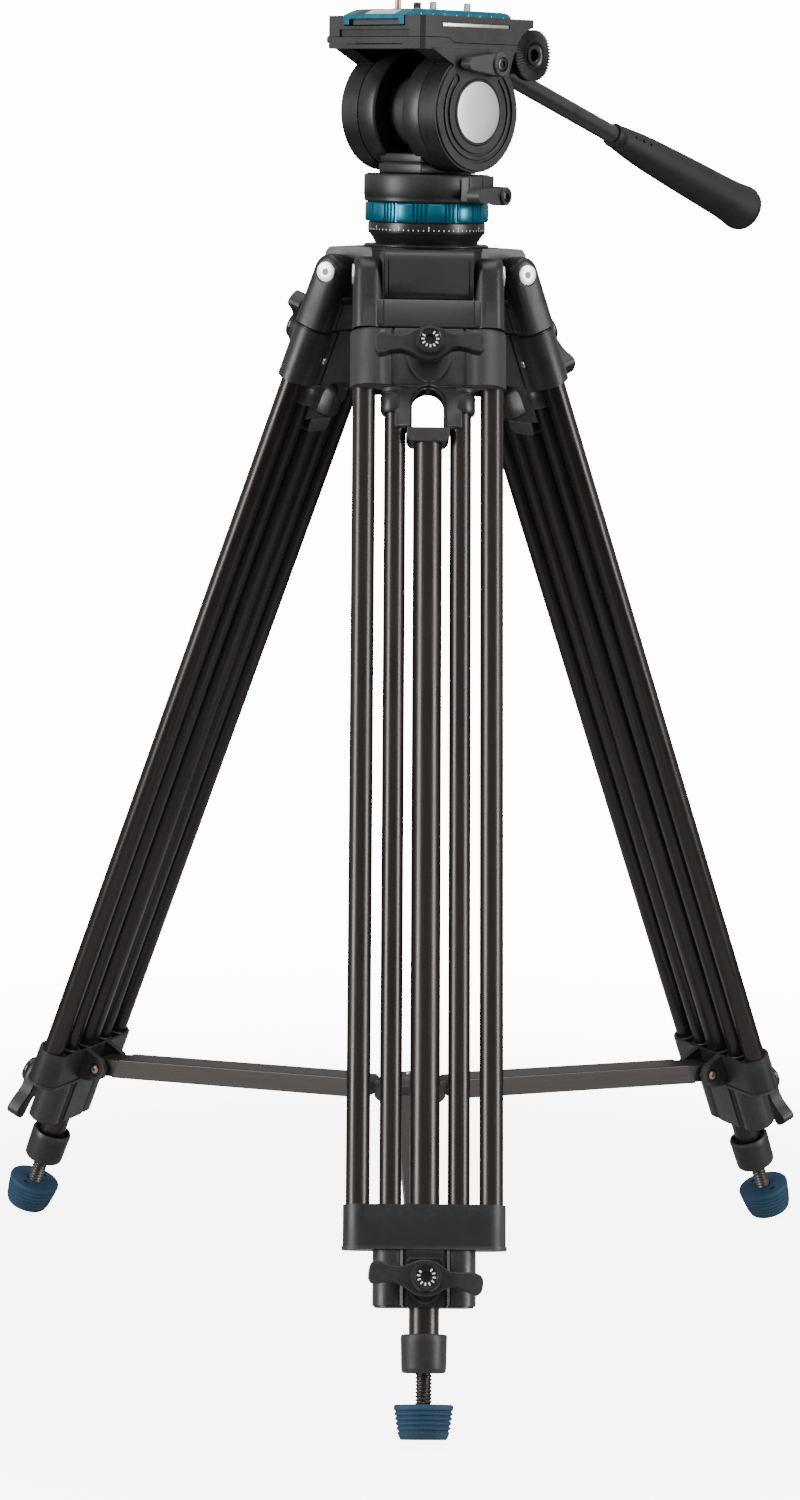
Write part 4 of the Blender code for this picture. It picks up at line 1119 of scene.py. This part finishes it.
def platform():
    plan = prism(plan_outline(), 0.78, 0.83, "Z")
    relief = [rod((s * 0.0337, ROSETTE_Y, ROSETTE_Z), (s * 0.0450, ROSETTE_Y, ROSETTE_Z),
        ROSETTE_R + 0.0006, steps=64) for s in (-1, 1)]
    lower = prism(side_profile(PLATFORM_Z, None, None, (0.7966, 0.7996)), -0.0415, 0.0415, "X")
    lower = cut(combined(lower, [plan], "INTERSECT"), *relief)
    on_head("platform_lower", lower, "casting", "tilt_head", ["platform"], 0.0008)
    upper = prism(side_profile(None, CLAMP_TOP, (0.7969, 0.7999), None), -0.0415, 0.0415, "X")
    channel = block((-0.0261, -0.1, 0.8062), (0.0261, 0.1, 0.83))
    bars = [block((min(s * 0.0409, s * 0.05), -0.0272, 0.8060),
        (max(s * 0.0409, s * 0.05), 0.0318, 0.8086)) for s in (-1, 1)]
    nose = block((-0.0300, 0.0475, 0.7925), (0.0300, 0.06, 0.8040))
    upper = cut(combined(upper, [plan], "INTERSECT"), channel, nose, *bars, *relief)
    on_head("platform_upper", upper, "casting", "tilt_head", ["plate_clamp"], 0.0008)
    for name, s in SIDES:
        low, high = sorted((s * 0.0402, s * 0.0412))
        strip = block((low, -0.0268, 0.8062), (high, 0.0314, 0.8084), 0.0003, 2)
        on_head(f"side_strip_{name}", strip, "badge", "tilt_head")
        ear = block((min(s * 0.0225, s * 0.0330), 0.0440, 0.7940),
            (max(s * 0.0225, s * 0.0330), 0.0489, 0.7990), 0.0008, 2)
        on_head(f"front_ear_{name}", ear, "casting", "tilt_head")
    barrel = turned([(0.0100, -0.0337), (0.0115, -0.0320), (0.0115, 0.0320), (0.0100, 0.0337)], 64)
    on_head("cross_barrel", along_x(barrel, 0.0, 1.0, ROSETTE_Y, ROSETTE_Z), "casting", "tilt_head")
    lip = block((-0.0240, 0.0485, 0.7950), (0.0240, 0.0490, 0.7958))
    on_head("front_lip", lip, "dark_metal", "tilt_head")


def tooth(inner, outer, half_angle, height):
    """One radial tooth of a rosette: a wedge with a sharp crest, standing on z = 0."""
    a = math.radians(half_angle)
    points = []
    for r in (inner, outer):
        points.append([Vector((r * math.cos(-a), r * math.sin(-a), 0.0)),
            Vector((r * math.cos(a), r * math.sin(a), 0.0)), Vector((r, 0.0, height))])
    return rings(points)


def rosettes():
    teeth = around(tooth(0.0090, 0.0157, 2.7, 0.0019), 48)
    for name, side in SIDES:
        disc = turned([(0.0148, 0.0), (0.0156, 0.0012), (0.0156, 0.0056), (0.0152, 0.0060), (0.0090, 0.0060),
            (0.0089, 0.0073), (0.0084, 0.0076), (0.0078, 0.0072), (0.0062, 0.0068), (0.0058, 0.0076),
            (0.0042, 0.0076), (0.0036, 0.0070), (0.0035, 0.0030), (0.0003, 0.0028)], 96)
        on_head(f"rosette_disc_{name}", along_x(disc, side * 0.0340, side, ROSETTE_Y, ROSETTE_Z), "gloss",
            "tilt_head", [f"rosette_{name}"])
        # The teeth wear the lightened casting: a painted highlight on the rosette's crests.
        on_head(f"rosette_teeth_{name}", along_x(teeth, side * 0.0399, side, ROSETTE_Y, ROSETTE_Z),
            "teeth", "tilt_head")


def levers_and_locks():
    handle = lever_piece(0.0074, 0.0042, 0.0245, 0.0085)
    lying = Matrix(((0, 0, -1, 0), (1, 0, 0, 0), (0, -1, 0, 0), (0, 0, 0, 1)))
    spot = HEAD @ Matrix.Translation((-0.0436, -0.0105, 0.7845)) @ lying
    add("tilt_lever_piece", handle, "moulding", "tilt_lever", spot, ["tilt_lever"], 0.0016, 3)
    add("tilt_lever_key", hex_washer(0.0042), "gloss", "tilt_lever",
        spot @ Matrix.Translation((0, 0, 0.0072)))
    px = 0.0418
    post = along_x(turned([(0.0055, 0.0), (0.0055, 0.0050), (0.0048, 0.0060), (0.0048, 0.0130),
        (0.0040, 0.0148)], 40), px, 1.0, 0.0200, 0.7985)
    outline = [(y + 0.0200, z + 0.7985) for y, z in oval(0.0160, 0.0034, 3.0, 40)]
    bar = prism(outline, px + 0.0058, px + 0.0130, "X")
    add("plate_lock_piece", joined(post, bar), "moulding", "plate_lock_knob", HEAD,
        ["plate_lock_knob"], 0.0010)


def quick_plate():
    side = [(-0.0455, 0.8068), (0.0500, 0.8068), (0.0500, 0.8128), (0.0400, PLATE_TOP), (-0.0420, PLATE_TOP),
        (-0.0455, 0.8142)]
    front = [(-0.0258, 0.80), (0.0258, 0.80), (0.0258, 0.8150), (0.0245, PLATE_TOP), (-0.0245, PLATE_TOP),
        (-0.0258, 0.8150)]
    body = combined(prism(side, -0.0258, 0.0258, "X"), [prism(front, -0.06, 0.06, "Y")], "INTERSECT")
    groove = block((-0.0062, -0.0400, 0.8157), (0.0062, 0.0330, 0.83), 0.0040, 4, 2)
    slot = block((-0.0212, 0.0465, 0.8060), (0.0212, 0.06, 0.8102), 0.0006, 2)
    body = cut(body, groove, slot)
    on_head("plate_body", body, "teal", "quick_plate", ["quick_plate"], 0.0005)
    # A near-black block at the back of the front slot: painted shade that darkens the recess.
    on_head("plate_slot_painted_shade", block((-0.0210, 0.0450, 0.8070), (0.0210, 0.0470, 0.8101)), "moulding",
        "quick_plate")
    for name, s in SIDES:
        low, high = sorted((s * 0.0082, s * 0.0226))
        pad = block((low, -0.0405, PLATE_TOP - 0.0004), (high, 0.0345, PLATE_TOP + 0.0004), 0.0003, 2)
        on_head(f"plate_pad_{name}", pad, "pad", "quick_plate")
        ticks = []
        for i in range(8):
            tall = 0.0016 if i % 2 else 0.0024
            y = 0.0350 - 0.0104 * i
            near, far = sorted((s * 0.0255, s * 0.02592))
            ticks.append(block((near, y - 0.0002, 0.8130), (far, y + 0.0002, 0.8130 + tall * 0.6)))
        on_head(f"plate_ticks_{name}", gathered(ticks), "white", "quick_plate")
    slope = math.atan2(PLATE_TOP - 0.8128, 0.0100)
    tilt = Matrix.Translation((0.0, 0.0450, (PLATE_TOP + 0.8128) / 2.0)) @ Matrix.Rotation(-slope, 4, "X")
    label = block((-0.0160, -0.0036, -0.0002), (0.0090, 0.0036, 0.00012), 0.0001, 1)
    on_head("slope_patch", moved(label, tilt), "pale", "quick_plate")
    strap = block((0.0095, -0.0044, -0.0002), (0.0165, 0.0044, 0.00018), 0.0001, 1)
    on_head("slope_strap", moved(strap, tilt), "moulding", "quick_plate")


def plate_screws():
    base = 0.8160
    for name, y, tall, look in (("camera_screw", -0.0021, 0.8225, "silver"),
        ("spare_screw", -0.0327, 0.8225, "silver")):
        flange = turned([(0.0045, base), (0.0045, base + 0.0006), (0.0042, base + 0.0009)], 40)
        studs = joined(thread(0.0025, 0.0004, 0.0012, base + 0.0005, tall - 0.0006, 28),
            turned([(0.0022, tall - 0.0010), (0.0016, tall)], 28))
        add(f"{name}_piece", moved(joined(flange, studs), Matrix.Translation((0.0, y, 0.0))), look, name,
            HEAD, [name])
    knurl = thread(0.0027, 0.0004, 0.0009, base + 0.0006, 0.8206, 28)
    pin = joined(knurl, turned([(0.0042, base), (0.0042, base + 0.0007), (0.0027, base + 0.0010)], 36),
        turned([(0.0027, 0.8203), (0.0024, 0.8213), (0.0015, 0.8216)], 28))
    on_head("locating_pin_piece", moved(pin, Matrix.Translation((0.0, 0.0120, 0.0))), "dark_metal",
        "quick_plate", ["locating_pin"])
    pin = turned([(0.0036, base), (0.0036, base + 0.0007), (0.0021, base + 0.0010), (0.0021, 0.8212),
        (0.0018, 0.8224), (0.0010, 0.8228)], 36)
    on_head("front_pin_piece", moved(pin, Matrix.Translation((0.0, 0.0288, 0.0))), "brass", "quick_plate",
        ["front_pin"])


# ---------------------------------------------------------------- pan bar, in the head's frame
BAR_X = 0.0520
BAR_BEND = Vector((BAR_X, -0.0955, 0.7915))
BAR_TIP = Vector((BAR_X, -0.3797, 0.6917))
BAR_TUBE_R, GRIP_LENGTH = 0.0061, 0.1560


def swept(points, radius, steps=40):
    """A round tube through points that lie in a plane of constant x."""
    sections = []
    for i, point in enumerate(points):
        before, after = points[max(i - 1, 0)], points[min(i + 1, len(points) - 1)]
        run = (after - before).normalized()
        side = Vector((1.0, 0.0, 0.0))
        up = side.cross(run).normalized()
        sections.append([point + side * radius * math.cos(2.0 * math.pi * k / steps)
            + up * radius * math.sin(2.0 * math.pi * k / steps) for k in range(steps)])
    return rings(sections)


def pan_bar():
    run = (BAR_TIP - BAR_BEND).normalized()
    start = Vector((BAR_X, -0.0740, ROSETTE_Z))
    lead = 0.016
    near = (start - BAR_BEND).normalized()
    bend = [BAR_BEND + near * lead * (1.0 - t / 10.0) ** 2 + run * lead * (t / 10.0) ** 2 for t in range(11)]
    end = BAR_TIP - run * (GRIP_LENGTH - 0.004)
    add("bar_tube_piece", swept([start, *bend, end], BAR_TUBE_R), "bar", "pan_bar", HEAD,
        ["bar_tube"])

    disc = turned([(0.0148, 0.0), (0.0157, 0.0010), (0.0157, 0.0166), (0.0150, 0.0176)], 72)
    ridges = around(block((0.0150, -0.0004, 0.0030), (0.0158, 0.0004, 0.0150)), 36)
    add("clamp_disc", along_x(disc, 0.0424, 1.0, ROSETTE_Y, ROSETTE_Z), "casting", "pan_bar", HEAD,
        ["bar_clamp"])
    add("clamp_ridges", along_x(ridges, 0.0424, 1.0, ROSETTE_Y, ROSETTE_Z), "casting", "pan_bar",
        HEAD)
    socket = turned([(0.0080, 0.0), (0.0080, 0.0240), (0.0076, 0.0262), (0.0066, 0.0275)], 64)
    add("clamp_socket", aimed(socket, (BAR_X, ROSETTE_Y, ROSETTE_Z), (0.0, -1.0, 0.0)), "casting", "pan_bar",
        HEAD)
    stem = turned([(0.0070, 0.0), (0.0070, 0.0050), (0.0060, 0.0060)], 48)
    lobes = []
    for share, z in ((0.86, 0.0038), (0.97, 0.0046), (1.0, 0.0060), (1.0, 0.0130), (0.96, 0.0146),
                     (0.86, 0.0155)):
        lobes.append(ring_of(lambda a, s=share: (0.0122 + 0.0008 * math.cos(math.radians(a * 8.0))) * s,
            z, 128))
    knob = joined(rings(lobes), stem)
    add("bar_knob_piece", along_x(knob, 0.0604, 1.0, ROSETTE_Y, ROSETTE_Z), "moulding", "bar_knob",
        HEAD, ["bar_knob"])

    length = GRIP_LENGTH
    profile = [(0.0072, -length + 0.0004), (0.0079, -length), (0.0082, -length + 0.0012),
        (0.0082, -length + 0.0055),
        (0.0077, -length + 0.0062), (0.0077, -length + 0.0068), (0.0086, -length + 0.0076)]
    for t, r in ((0.08, 0.0091), (0.16, 0.0104), (0.26, 0.0114), (0.38, 0.0121), (0.50, 0.0128),
        (0.62, 0.0133), (0.74, 0.0138), (0.84, 0.0143), (0.89, 0.0149), (0.93, 0.0157)):
        profile.append((r, -length * (1.0 - t)))
    profile += [(0.0160, -0.0085), (0.0159, -0.0060), (0.0150, -0.0030), (0.0132, -0.0012), (0.0100, -0.0002),
        (0.0050, 0.0)]
    grip = turned(profile, 96)
    dimples = []
    for i in range(3):
        z = -length + 0.0150 + 0.0075 * i
        for a in (40.0, 160.0, 280.0):
            spot = Vector((math.cos(math.radians(a)), math.sin(math.radians(a)), 0.0))
            dimples.append(rod(spot * 0.0086 + UP * z, spot * 0.0140 + UP * z, 0.0011, steps=16))
    grip = aimed(cut(grip, *dimples), BAR_TIP, run)
    add("grip_piece", grip, "grip", "pan_bar", HEAD, ["bar_grip"])


legs()
spreader()
crown()
base_rings()
pan_housing()
yoke()
drums()
platform()
rosettes()
levers_and_locks()
quick_plate()
plate_screws()
pan_bar()

# ---------------------------------------------------------------- carried-over nodes
CARRIED = {"tube": "tube", "teal": "teal", "silver": "silver", "brass": "brass", "rubber": "rubber",
    "grip": "grip", "spreader": "arm", "casting": "casting", "moulding": "moulding"}
SLOTS = {part["node"]: part["material_slot"] for part in frame["record"]["subparts"]}
for node, shown in frame["nodes"].items():
    for holder in shown.material_slots:
        holder.material = LOOKS[CARRIED[SLOTS[node]]]
